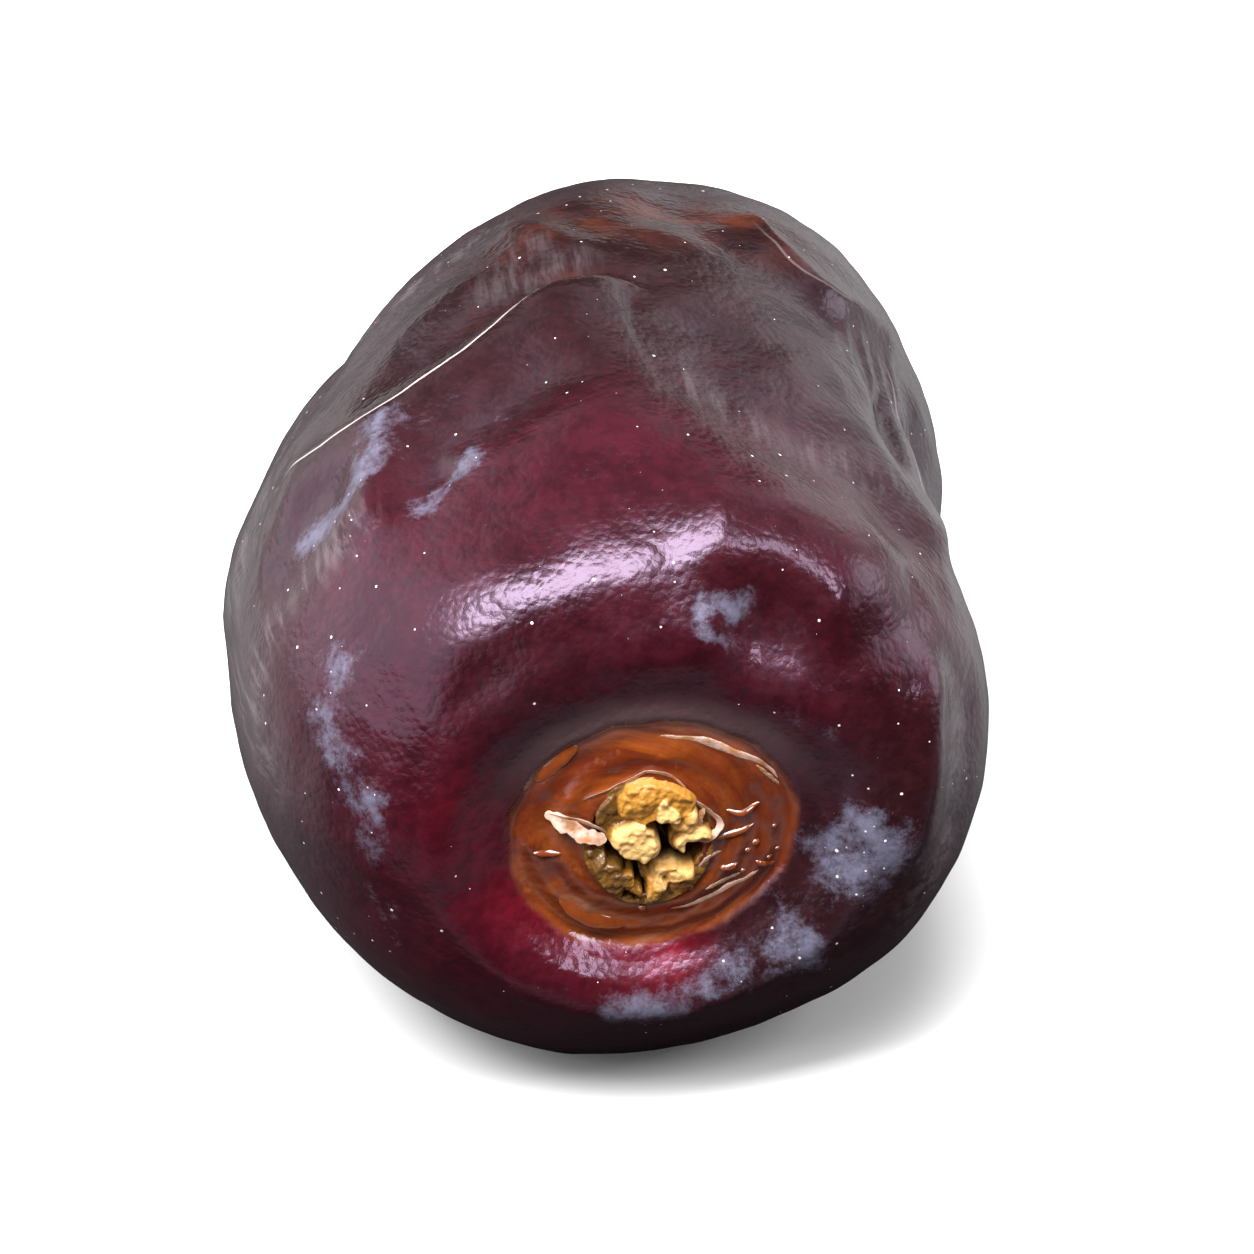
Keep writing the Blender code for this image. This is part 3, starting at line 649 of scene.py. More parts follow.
def net_faces(counts: list[int], first_point: int = 0) -> np.ndarray:
    """Join a row of rings, given the number of points in each.

    Args:
        counts: points in each ring, in order.
        first_point: number of the first ring's first point.

    Returns:
        Faces, one row of four point numbers each.
    """
    starts = first_point + np.concatenate([[0], np.cumsum(counts)])
    rings = [ring_quads(counts[k], counts[k + 1], starts[k], starts[k + 1]) for k in range(len(counts) - 1)]
    return np.concatenate(rings)


def disc_counts(rings: int) -> list[int]:
    """Points in the middle and in each ring of a netted disc, 8 k in ring k."""
    return [1] + [8 * (k + 1) for k in range(rings)]


def put_in_mesh(name: str, points: Points, faces: np.ndarray, material: bpy.types.Material,
                marks: dict[str, np.ndarray]) -> bpy.types.Object:
    """Make a smooth-shaded object.

    Args:
        name: name of the piece.
        points: places in metres, in the frame's own axes.
        faces: rows of point numbers.
        material: the piece's finish.
        marks: numbers for each point that the finish reads, by name.

    Returns:
        The new object.
    """
    mesh = bpy.data.meshes.new(name)
    mesh.from_pydata(points.tolist(), [], faces.tolist())
    mesh.shade_smooth()
    mesh.materials.append(material)
    for mark, values in marks.items():
        attribute = mesh.attributes.new(mark, "FLOAT", "POINT")
        attribute.data.foreach_set("value", np.ascontiguousarray(values, dtype=np.float32))
    piece = bpy.data.objects.new(name, mesh)
    bpy.context.scene.collection.objects.link(piece)
    return piece


@dataclass
class Placement:
    """Where the fruit's own frame lies in the model's: what set it down on its flat spot."""

    middle_x: float
    middle_y: float
    level: float

    def settle(self, points: Points) -> Points:
        """Bring places from the fruit's own frame, in millimetres, to the model's, in metres."""
        return (points - np.array([self.middle_x, self.middle_y, self.level])) * MM


# The fruit

@dataclass
class DateFruit:
    """The fruit: its skin with folds and wrinkles, the basin, the scar and the tip."""

    finish: "SkinFinish"
    barrel: Barrel = field(default_factory=Barrel)
    stem_end: StemEnd = field(default_factory=StemEnd)
    tip: Tip = field(default_factory=Tip)
    cap_rings: int = 50
    barrel_rings: int = 188
    stem_cap_reach: float = 5.4
    tip_cap_angle: float = 0.38
    crowding_on_top: float = 0.35
    crowding_near_stem: float = 0.22
    flat_depth: float = 0.55
    flat_blend: float = 0.12

    def ring_levels(self) -> np.ndarray:
        """psi of every ring: evenly over the scar, closer on the near half, wider to the tip.

        Returns:
            psi from 0 at the stem end to pi at the tip.
        """
        stem = np.arctan(np.linspace(0.0, self.stem_cap_reach, self.cap_rings + 1) / (self.barrel.width / 2))
        tip = math.pi - np.linspace(0.0, self.tip_cap_angle, self.cap_rings + 1)[::-1]
        t = np.linspace(0.0, 1.0, self.barrel_rings + 2)[1:-1]
        crowded = t - self.crowding_near_stem * t * (1.0 - t)
        return np.concatenate([stem, stem[-1] + (tip[0] - stem[-1]) * crowded, tip])

    def grid(self) -> tuple[np.ndarray, np.ndarray, np.ndarray]:
        """psi and phi of every point, and the faces: a netted disc at each end, a tube between.

        Returns:
            psi, phi and the faces.
        """
        counts = disc_counts(self.cap_rings)
        counts = counts + [8 * self.cap_rings] * self.barrel_rings + counts[::-1]
        psi = np.repeat(self.ring_levels(), counts)
        u = np.concatenate([np.arange(count) * 2 * math.pi / count for count in counts])
        phi = u + self.crowding_on_top * np.cos(u)
        return *self.round_the_scar(psi, phi), net_faces(counts)

    def round_the_scar(self, psi: np.ndarray, phi: np.ndarray) -> tuple[np.ndarray, np.ndarray]:
        """Make the rings near the scar round, where the barrel's own are a little flattened.

        Args:
            psi: way from the stem end to the tip.
            phi: turn round the fruit.

        Returns:
            The changed psi and phi.
        """
        distance = self.barrel.width / 2 * np.tan(np.minimum(psi, 1.2))
        near = 1.0 - smoothstep(self.stem_end.scar_radius + 0.4, self.stem_end.basin_reach + 1.0, distance)
        flattening = self.barrel.width / self.barrel.height
        stretch = np.hypot(np.cos(phi), flattening * np.sin(phi))
        turned = np.arctan2(flattening * np.sin(phi), np.cos(phi)) - phi
        turned = (turned + math.pi) % (2 * math.pi) - math.pi
        rounder = np.arctan(np.tan(np.minimum(psi, 1.2)) * (1.0 + near * (stretch - 1.0)))
        return np.where(near > 0.0, rounder, psi), phi + near * turned

    def skin(self, base: Points, outward: Points) -> tuple[Points, np.ndarray]:
        """Lift the plain barrel by its folds and wrinkles and sink its two ends.

        Args:
            base: places on the plain barrel.
            outward: outward directions there.

        Returns:
            Places on the skin, and the height of the folds there.
        """
        lift = np.zeros(base.shape[0])
        for feature in main_folds() + thin_wrinkles():
            lift += feature.lift(base, outward)
        lift += 0.035 * ripples(base, 5.2, 14, 3) + 0.014 * ripples(base, 2.1, 16, 5)
        lift += 0.005 * ripples(base, 1.0, 18, 7)
        x, z = base[:, 0] - self.barrel.scar_x, base[:, 2] - self.barrel.scar_z
        radius = self.stem_end.scar_radius
        calm = smoothstep(radius - 0.4, radius + 0.8, np.hypot(x, z))
        at_stem = base[:, 1] < 0.0
        points = base + outward * (lift * np.where(at_stem, calm, 1.0))[:, None]
        tip_x = self.barrel.bend + self.barrel.lean
        tip_z = self.barrel.height / 2 - self.barrel.sag
        points[:, 1] += np.where(at_stem, self.stem_end.depth(x, z),
                                 -self.tip.depth(base[:, 0] - tip_x, base[:, 2] - tip_z))
        return points, lift

    def set_down(self, points: Points) -> tuple[Points, Placement]:
        """Press the underside flat, with a rounded edge, and find the placement.

        Args:
            points: places on the skin in the fruit's own frame.

        Returns:
            The pressed points, still in the fruit's own frame, and the placement.
        """
        level = points[:, 2].min() + self.flat_depth
        over = points[:, 2] - level
        blend = self.flat_blend * np.clip((over / self.flat_blend + 1.0) / 2.0, 0.0, 1.0) ** 2
        points[:, 2] = level + np.where(over > self.flat_blend, over, blend)
        middle = (points.max(axis=0) + points.min(axis=0)) / 2
        return points, Placement(middle[0], middle[1], level)

    def marks(self, base: Points, outward: Points, lift: np.ndarray) -> dict[str, np.ndarray]:
        """Numbers that tell the finish what lies where.

        Args:
            base: places on the plain barrel.
            outward: outward directions there.
            lift: height of the folds there.

        Returns:
            A number for each point, by name.
        """
        x, z = base[:, 0] - self.barrel.scar_x, base[:, 2] - self.barrel.scar_z
        at_stem = base[:, 1] < 0.0
        marks = {name: lay_over(strokes, base) for name, strokes in skin_strokes().items()}
        marks["to_edge"] = np.where(at_stem, np.minimum(self.stem_end.to_edge(x, z), 2.0), 2.0)
        marks["to_rim"] = np.where(at_stem, np.minimum(self.stem_end.to_rim(x, z), 3.0), 3.0)
        # Where the painted crest highlight and its painted shadow lie
        marks["beside_edge"], marks["edge"] = nearest_edge(base, outward)
        marks["hollow"] = np.clip(-lift / 0.5, 0.0, 1.0)
        marks["over_scar"] = smoothstep(-0.5, 3.0, z - 0.2 * np.abs(x))
        return marks

    def build(self) -> tuple[bpy.types.Object, Placement]:
        """Make the fruit's piece.

        Returns:
            The piece and the placement that it was set down with.
        """
        psi, phi, faces = self.grid()
        base, outward = self.barrel.surface(psi, phi)
        skin, lift = self.skin(base, outward)
        points, placement = self.set_down(skin)
        piece = put_in_mesh("date_fruit_skin", placement.settle(points), faces, self.finish.material(),
                            self.marks(base, outward, lift))
        LOG.info("fruit: %d faces, level %.3f mm, middle %.3f %.3f mm", len(faces), placement.level,
                 placement.middle_x, placement.middle_y)
        return piece, placement


def sharp_edges() -> list[Edge]:
    """The folds whose sharp edge gets a painted highlight line beside a painted shadow: the pleat, and those
    that meet on the right.

    Returns:
        Their edges.
    """
    return [
        Edge(PLEAT, 0.07, 0.6, 0.22),
        Edge([(6.0, 7.4, 20.3), (6.5, 5.7, 20.3), (6.8, 4.8, 20.3), (7.1, 4.2, 20.1), (7.7, 3.8, 19.8),
              (8.6, 3.8, 19.2), (9.2, 4.3, 18.5), (10.0, 4.6, 17.0)], 0.06, 0.08, 0.3),
        Edge([(9.6, 4.6, 17.6), (10.2, 3.6, 16.2), (10.6, 1.6, 15.9), (10.8, -1.2, 15.9), (10.6, -4.8, 16.2),
              (10.5, -7.0, 16.5)], 0.07, 0.2, 0.35),
    ]


def nearest_edge(points: Points, outward: Points) -> tuple[np.ndarray, np.ndarray]:
    """Distance beside the nearest sharp edge, and its strength.

    Args:
        points: places on the plain barrel.
        outward: outward directions there.

    Returns:
        The signed distances in widths of the edge, and strengths from 0 to 1.
    """
    beside = np.full(len(points), FAR_BESIDE)
    strength = np.zeros(len(points))
    for edge in sharp_edges():
        distance, share = edge.beside(points, outward)
        closer = np.abs(distance) < np.abs(beside)
        beside = np.where(closer, distance, beside)
        strength = np.where(closer, share, strength)
    return beside, strength


def skin_strokes() -> dict[str, list[Stroke]]:
    """Where the skin's colours and its wax lie.

    Returns:
        Strokes by the name of the mark.
    """
    return {
        # Blue-grey wax that has not been rubbed off
        "wax": [
            Stroke([(-7.3, -5.0, 20.7), (-7.9, -6.8, 20.2), (-8.8, -7.4, 19.2), (-9.9, -7.0, 17.5)],
                   0.95, 1.0),
            Stroke([(-4.7, -8.1, 21.2), (-5.4, -8.8, 20.6), (-6.2, -9.5, 20.2)], 0.85, 0.9),
            Stroke([(-2.6, -6.6, 21.9), (-4.2, -6.8, 21.6)], 0.5, 0.4),
            Stroke([(-9.3, -12.6, 16.4), (-9.7, -13.4, 14.5), (-8.9, -14.9, 13.2), (-8.4, -15.4, 11.4)],
                   1.1, 0.75),
            Stroke([(2.3, -14.8, 19.2), (3.2, -14.9, 18.6), (4.2, -14.9, 17.8), (4.7, -15.4, 17.2)],
                   0.5, 1.0),
            Stroke([(1.9, -14.9, 19.5), (1.8, -15.5, 18.7), (2.6, -15.5, 18.2)], 0.42, 1.0),
            Stroke([(3.4, -14.6, 19.3), (2.8, -14.8, 19.2)], 0.4, 0.8),
            Stroke([(4.9, -15.6, 10.8), (5.9, -15.7, 11.2), (7.0, -16.1, 11.5), (7.5, -16.1, 10.4)],
                   1.15, 1.0),
            Stroke([(5.6, -15.9, 10.2), (6.6, -16.1, 9.8)], 1.0, 1.0),
            Stroke([(4.2, -15.8, 8.5), (4.8, -16.2, 7.5), (5.2, -16.3, 6.7)], 0.9, 0.9),
            Stroke([(-0.9, -16.4, 5.4), (1.0, -16.3, 5.8), (2.8, -16.1, 6.6), (4.2, -16.2, 7.2)], 1.0, 0.85),
            Stroke([(4.4, -16.2, 15.8), (5.6, -16.3, 15.2)], 0.6, 0.6),
            Stroke([(-8.6, -15.6, 9.0), (-8.4, -15.8, 7.6)], 0.9, 0.6),
            Stroke([(-11.0, 4.0, 9.0), (-10.0, 8.0, 10.0)], 1.6, 0.5),
            Stroke([(12.0, 5.0, 8.0), (11.0, 9.0, 9.0)], 1.6, 0.5),
        ],
        # Thin grey film, drawn out in streaks along the fruit; laid along the rims and the grey fold on the
        # top, so partly painted sheen
        "film_and_painted_sheen": [
            Stroke([(2.4, -5.3, 21.6), (3.7, -6.9, 21.1), (5.1, -7.6, 20.6), (7.1, -7.2, 19.6),
                    (9.4, -6.0, 17.7)], 0.9, 0.35),
            Stroke([(-11.4, -11.0, 12.0), (-12.2, -6.0, 13.0), (-11.6, -1.0, 15.2), (-10.4, 3.0, 16.0),
                    (-8.4, 5.4, 17.2), (-5.6, 6.6, 18.9), (-2.6, 8.2, 19.9)], 1.2, 0.45),
            Stroke([(8.4, 1.6, 18.8), (9.6, -1.4, 17.6), (10.2, -4.6, 16.8), (10.6, -8.6, 15.8)], 0.6, 0.25),
            Stroke([(11.0, -12.0, 14.6), (10.4, -14.0, 12.6), (10.0, -14.6, 10.4), (9.0, -15.4, 7.4)],
                   1.0, 0.4),
            Stroke([(-1.6, 4.0, 21.6), (-3.2, 1.6, 21.4), (-0.4, 2.2, 22.0)], 0.8, 0.25),
            Stroke([(-8.4, -9.0, 19.0), (-10.4, -8.6, 16.4), (-11.4, -9.4, 13.6)], 0.9, 0.6),
        ],
        # Warm red where the skin is thin over the flesh
        "crimson": [
            Stroke([(-3.4, -16.9, 9.6), (-2.3, -16.9, 8.4), (-0.6, -16.9, 7.6), (0.8, -16.9, 7.2)], 1.1, 1.0),
            Stroke([(-5.6, -16.4, 12.6), (-4.6, -16.8, 9.6)], 1.6, 0.45),
        ],
        # Plum of the front and of the shoulder over the scar
        "plum": [
            Stroke([(-8.5, -10.5, 18.5), (-4.0, -10.5, 21.0), (0.0, -10.0, 21.8), (5.0, -10.0, 20.8),
                    (9.0, -11.0, 17.5)], 4.2, 0.95),
            Stroke([(-7.0, -15.0, 14.0), (-7.0, -16.0, 9.0), (-3.0, -16.5, 5.0)], 4.5, 0.9),
            Stroke([(0.0, -15.5, 18.0), (4.0, -16.0, 16.0)], 4.0, 0.9),
        ],
        # Deeper brown on the right and the upper left of the scar
        "deep": [
            Stroke([(2.2, -16.8, 14.0), (3.8, -16.8, 12.9), (4.3, -16.8, 11.0), (3.9, -16.8, 9.2)], 1.1, 0.9),
            Stroke([(-3.4, -16.8, 12.6), (-3.0, -16.8, 13.6)], 0.8, 0.6),
        ],
        # Rusty brown on the far top
        "rust": [
            Stroke([(-1.0, 5.6, 21.6), (1.2, 6.4, 21.4), (4.1, 6.6, 20.8), (6.2, 6.4, 20.3)], 2.3, 1.0),
            Stroke([(-3.0, 0.4, 21.6), (-0.6, 1.2, 22.0)], 1.0, 0.4),
            Stroke([(3.4, 8.4, 20.4), (5.4, 8.0, 20.0)], 1.4, 0.8),
            Stroke([(-4.0, 12.0, 9.0), (1.0, 14.5, 10.0)], 3.0, 0.5),
        ],
    }


# Finishes

class Wiring:
    """Puts nodes into one node tree and joins them."""

    def __init__(self, tree: bpy.types.NodeTree) -> None:
        """Keep the tree.

        Args:
            tree: the node tree of a material, a world or a group.
        """
        self.tree = tree

    def node(self, kind: str, **settings: object) -> bpy.types.Node:
        """Add a node and set its properties.

        Args:
            kind: the node's type name.
            **settings: properties of the node.

        Returns:
            The node.
        """
        node = self.tree.nodes.new(kind)
        for name, value in settings.items():
            setattr(node, name, value)
        return node

    def feed(self, target: bpy.types.NodeSocket, source: object) -> None:
        """Join a source to a socket, or set the socket where the source is a plain value.

        Args:
            target: the socket.
            source: another node's socket, a number or a colour.
        """
        if isinstance(source, bpy.types.NodeSocket):
            self.tree.links.new(source, target)
        elif isinstance(source, tuple) and len(source) == 3 and target.type == "RGBA":
            target.default_value = (*source, 1.0)
        else:
            target.default_value = source

    def along_x(self, amount: object) -> bpy.types.NodeSocket:
        """Make a place that lies out along X.

        Args:
            amount: how far out.

        Returns:
            Socket of the place.
        """
        node = self.node("ShaderNodeCombineXYZ")
        self.feed(node.inputs["X"], amount)
        return node.outputs[0]

    def mark(self, name: str) -> bpy.types.NodeSocket:
        """The value of one of the piece's marks."""
        return self.node("ShaderNodeAttribute", attribute_name=name).outputs["Fac"]

    def place(self) -> bpy.types.NodeSocket:
        """The place on the piece in metres."""
        return self.node("ShaderNodeTexCoord").outputs["Object"]

    def maths(self, operation: str, first: object, second: object = 0.0, clamp: bool = False
              ) -> bpy.types.NodeSocket:
        """A sum, product or other operation on two values.

        Args:
            operation: name of the operation.
            first: first value or socket.
            second: second value or socket.
            clamp: keep the result between 0 and 1.

        Returns:
            The result's socket.
        """
        node = self.node("ShaderNodeMath", operation=operation, use_clamp=clamp)
        self.feed(node.inputs[0], first)
        self.feed(node.inputs[1], second)
        return node.outputs[0]

    def times(self, first: object, second: object) -> bpy.types.NodeSocket:
        """The product of two values."""
        return self.maths("MULTIPLY", first, second)

    def larger(self, first: object, second: object) -> bpy.types.NodeSocket:
        """The larger of two values."""
        return self.maths("MAXIMUM", first, second)

    def off(self, share: object) -> bpy.types.NodeSocket:
        """1 less a share."""
        return self.maths("SUBTRACT", 1.0, share)

    def span(self, value: object, low: float, high: float, bottom: float = 0.0, top: float = 1.0
             ) -> bpy.types.NodeSocket:
        """Go smoothly from bottom, where the value is low, to top, where it is high.

        Args:
            value: the value's socket.
            low: value that gives bottom.
            high: value that gives top.
            bottom: result at low.
            top: result at high.

        Returns:
            The result's socket.
        """
        node = self.node("ShaderNodeMapRange", interpolation_type="SMOOTHSTEP")
        for name, number in (("Value", value), ("From Min", low), ("From Max", high), ("To Min", bottom),
                             ("To Max", top)):
            self.feed(node.inputs[name], number)
        return node.outputs[0]

    def noise(self, place: object, grain: float, detail: float, roughness: float
              ) -> bpy.types.NodeSocket:
        """Cloudy noise.

        Args:
            place: socket of the place in metres.
            grain: size of its largest blotches in millimetres.
            detail: octaves.
            roughness: weight of the finer octaves.

        Returns:
            Socket of the value, about 0.5 in the mean.
        """
        node = self.node("ShaderNodeTexNoise")
        for name, number in (("Vector", place), ("Scale", 1.0 / (grain * MM)), ("Detail", detail),
                             ("Roughness", roughness)):
            self.feed(node.inputs[name], number)
        return node.outputs["Fac"]

    def stretch(self, place: object, scale: tuple[float, float, float]) -> bpy.types.NodeSocket:
        """Stretch a pattern's place.

        Args:
            place: socket of the place.
            scale: factors along the three axes.

        Returns:
            Socket of the new place.
        """
        node = self.node("ShaderNodeMapping")
        self.feed(node.inputs["Vector"], place)
        node.inputs["Scale"].default_value = scale
        return node.outputs[0]

    def blend(self, share: object, first: object, second: object, how: str = "MIX"
              ) -> bpy.types.NodeSocket:
        """Mix two colours.

        Args:
            share: share of the second colour.
            first: first colour or socket.
            second: second colour or socket.
            how: the kind of mix.

        Returns:
            Socket of the mixed colour.
        """
        node = self.node("ShaderNodeMix", data_type="RGBA", blend_type=how)
        self.feed(node.inputs["Factor"], share)
        self.feed(node.inputs[6], first)
        self.feed(node.inputs[7], second)
        return node.outputs[2]

    def group(self, tree: bpy.types.NodeTree, **values: object) -> bpy.types.Node:
        """Place a node group and feed its inputs.

        Args:
            tree: the group.
            **values: values or sockets for its inputs, with spaces in the names as underscores.

        Returns:
            The group's node.
        """
        node = self.node("ShaderNodeGroup", node_tree=tree)
        for name, value in values.items():
            self.feed(node.inputs[name.replace("_", " ")], value)
        return node

    def roughen(self, shader: bpy.types.Node, height: bpy.types.NodeSocket, depth: float) -> None:
        """Raise fine relief on a surface.

        Args:
            shader: the material's shader.
            height: socket of the relief's height.
            depth: millimetres for a height of 1.
        """
        bump = self.node("ShaderNodeBump")
        bump.inputs["Distance"].default_value = depth * MM
        self.feed(bump.inputs["Height"], height)
        self.feed(shader.inputs["Normal"], bump.outputs["Normal"])


def new_group(name: str, inputs: dict[str, str], outputs: dict[str, str]
              ) -> tuple[Wiring, bpy.types.Node, bpy.types.Node]:
    """Start a shader node group.

    Args:
        name: the group's name.
        inputs: socket types by input name.
        outputs: socket types by output name.

    Returns:
        The group's wiring, its input node and its output node.
    """
    tree = bpy.data.node_groups.new(name, "ShaderNodeTree")
    for socket, kind in inputs.items():
        tree.interface.new_socket(socket, in_out="INPUT", socket_type=kind)
    for socket, kind in outputs.items():
        tree.interface.new_socket(socket, in_out="OUTPUT", socket_type=kind)
    wiring = Wiring(tree)
    return wiring, wiring.node("NodeGroupInput"), wiring.node("NodeGroupOutput")


class Effects:
    """Node groups that more than one finish uses."""

    def __init__(self) -> None:
        """Build both groups once."""
        self.grain = self.make_grain()
        self.dust_and_painted_glint = self.make_dust()

    @staticmethod
    def make_grain() -> bpy.types.NodeTree:
        """Noise less the distance from random points, as a height.

        Returns:
            The group.
        """
        wiring, given, result = new_group(
            "fine_grain",
            {"Place": "NodeSocketVector", "Scale": "NodeSocketFloat", "Stir": "NodeSocketFloat"},
            {"Height": "NodeSocketFloat"})
        noise = wiring.node("ShaderNodeTexNoise")
        wiring.feed(noise.inputs["Vector"], given.outputs["Place"])
        wiring.feed(noise.inputs["Scale"], given.outputs["Scale"])
        wiring.feed(noise.inputs["Detail"], 3.0)
        wiring.feed(noise.inputs["Distortion"], given.outputs["Stir"])
        cells = wiring.node("ShaderNodeTexVoronoi", feature="F1")
        wiring.feed(cells.inputs["Vector"], given.outputs["Place"])
        wiring.feed(cells.inputs["Scale"], given.outputs["Scale"])
        sunk = wiring.times(cells.outputs["Distance"], -0.8)
        wiring.feed(result.inputs["Height"], wiring.maths("ADD", noise.outputs["Fac"], sunk))
        return wiring.tree

    @staticmethod
    def make_dust() -> bpy.types.NodeTree:
        """Scattered specks: 1 within a small distance of random points, few large and most small.

        Returns:
            The group.
        """
        wiring, given, result = new_group(
            "dust_specks",
            {"Place": "NodeSocketVector", "Scale": "NodeSocketFloat", "Size": "NodeSocketFloat"},
            {"Mask": "NodeSocketFloat"})
        cells = wiring.node("ShaderNodeTexVoronoi", feature="F1")
        wiring.feed(cells.inputs["Vector"], given.outputs["Place"])
        wiring.feed(cells.inputs["Scale"], given.outputs["Scale"])
        parts = wiring.node("ShaderNodeSeparateXYZ")
        wiring.feed(parts.inputs[0], cells.outputs["Color"])
        size = wiring.times(wiring.maths("POWER", parts.outputs["X"], 3.0), 2.2)
        size = wiring.times(size, given.outputs["Size"])
        near = wiring.maths("DIVIDE", cells.outputs["Distance"], wiring.maths("ADD", size, 0.0001))
        wiring.feed(result.inputs["Mask"], wiring.span(near, 0.6, 1.0, 1.0, 0.0))
        return wiring.tree


def new_material(name: str) -> tuple[bpy.types.Material, Wiring, bpy.types.Node]:
    """Start a material with a Principled shader.

    Args:
        name: the material's name.

    Returns:
        The material, its wiring and the shader node.
    """
    material = bpy.data.materials.new(name)
    material.use_nodes = True
    return material, Wiring(material.node_tree), material.node_tree.nodes["Principled BSDF"]


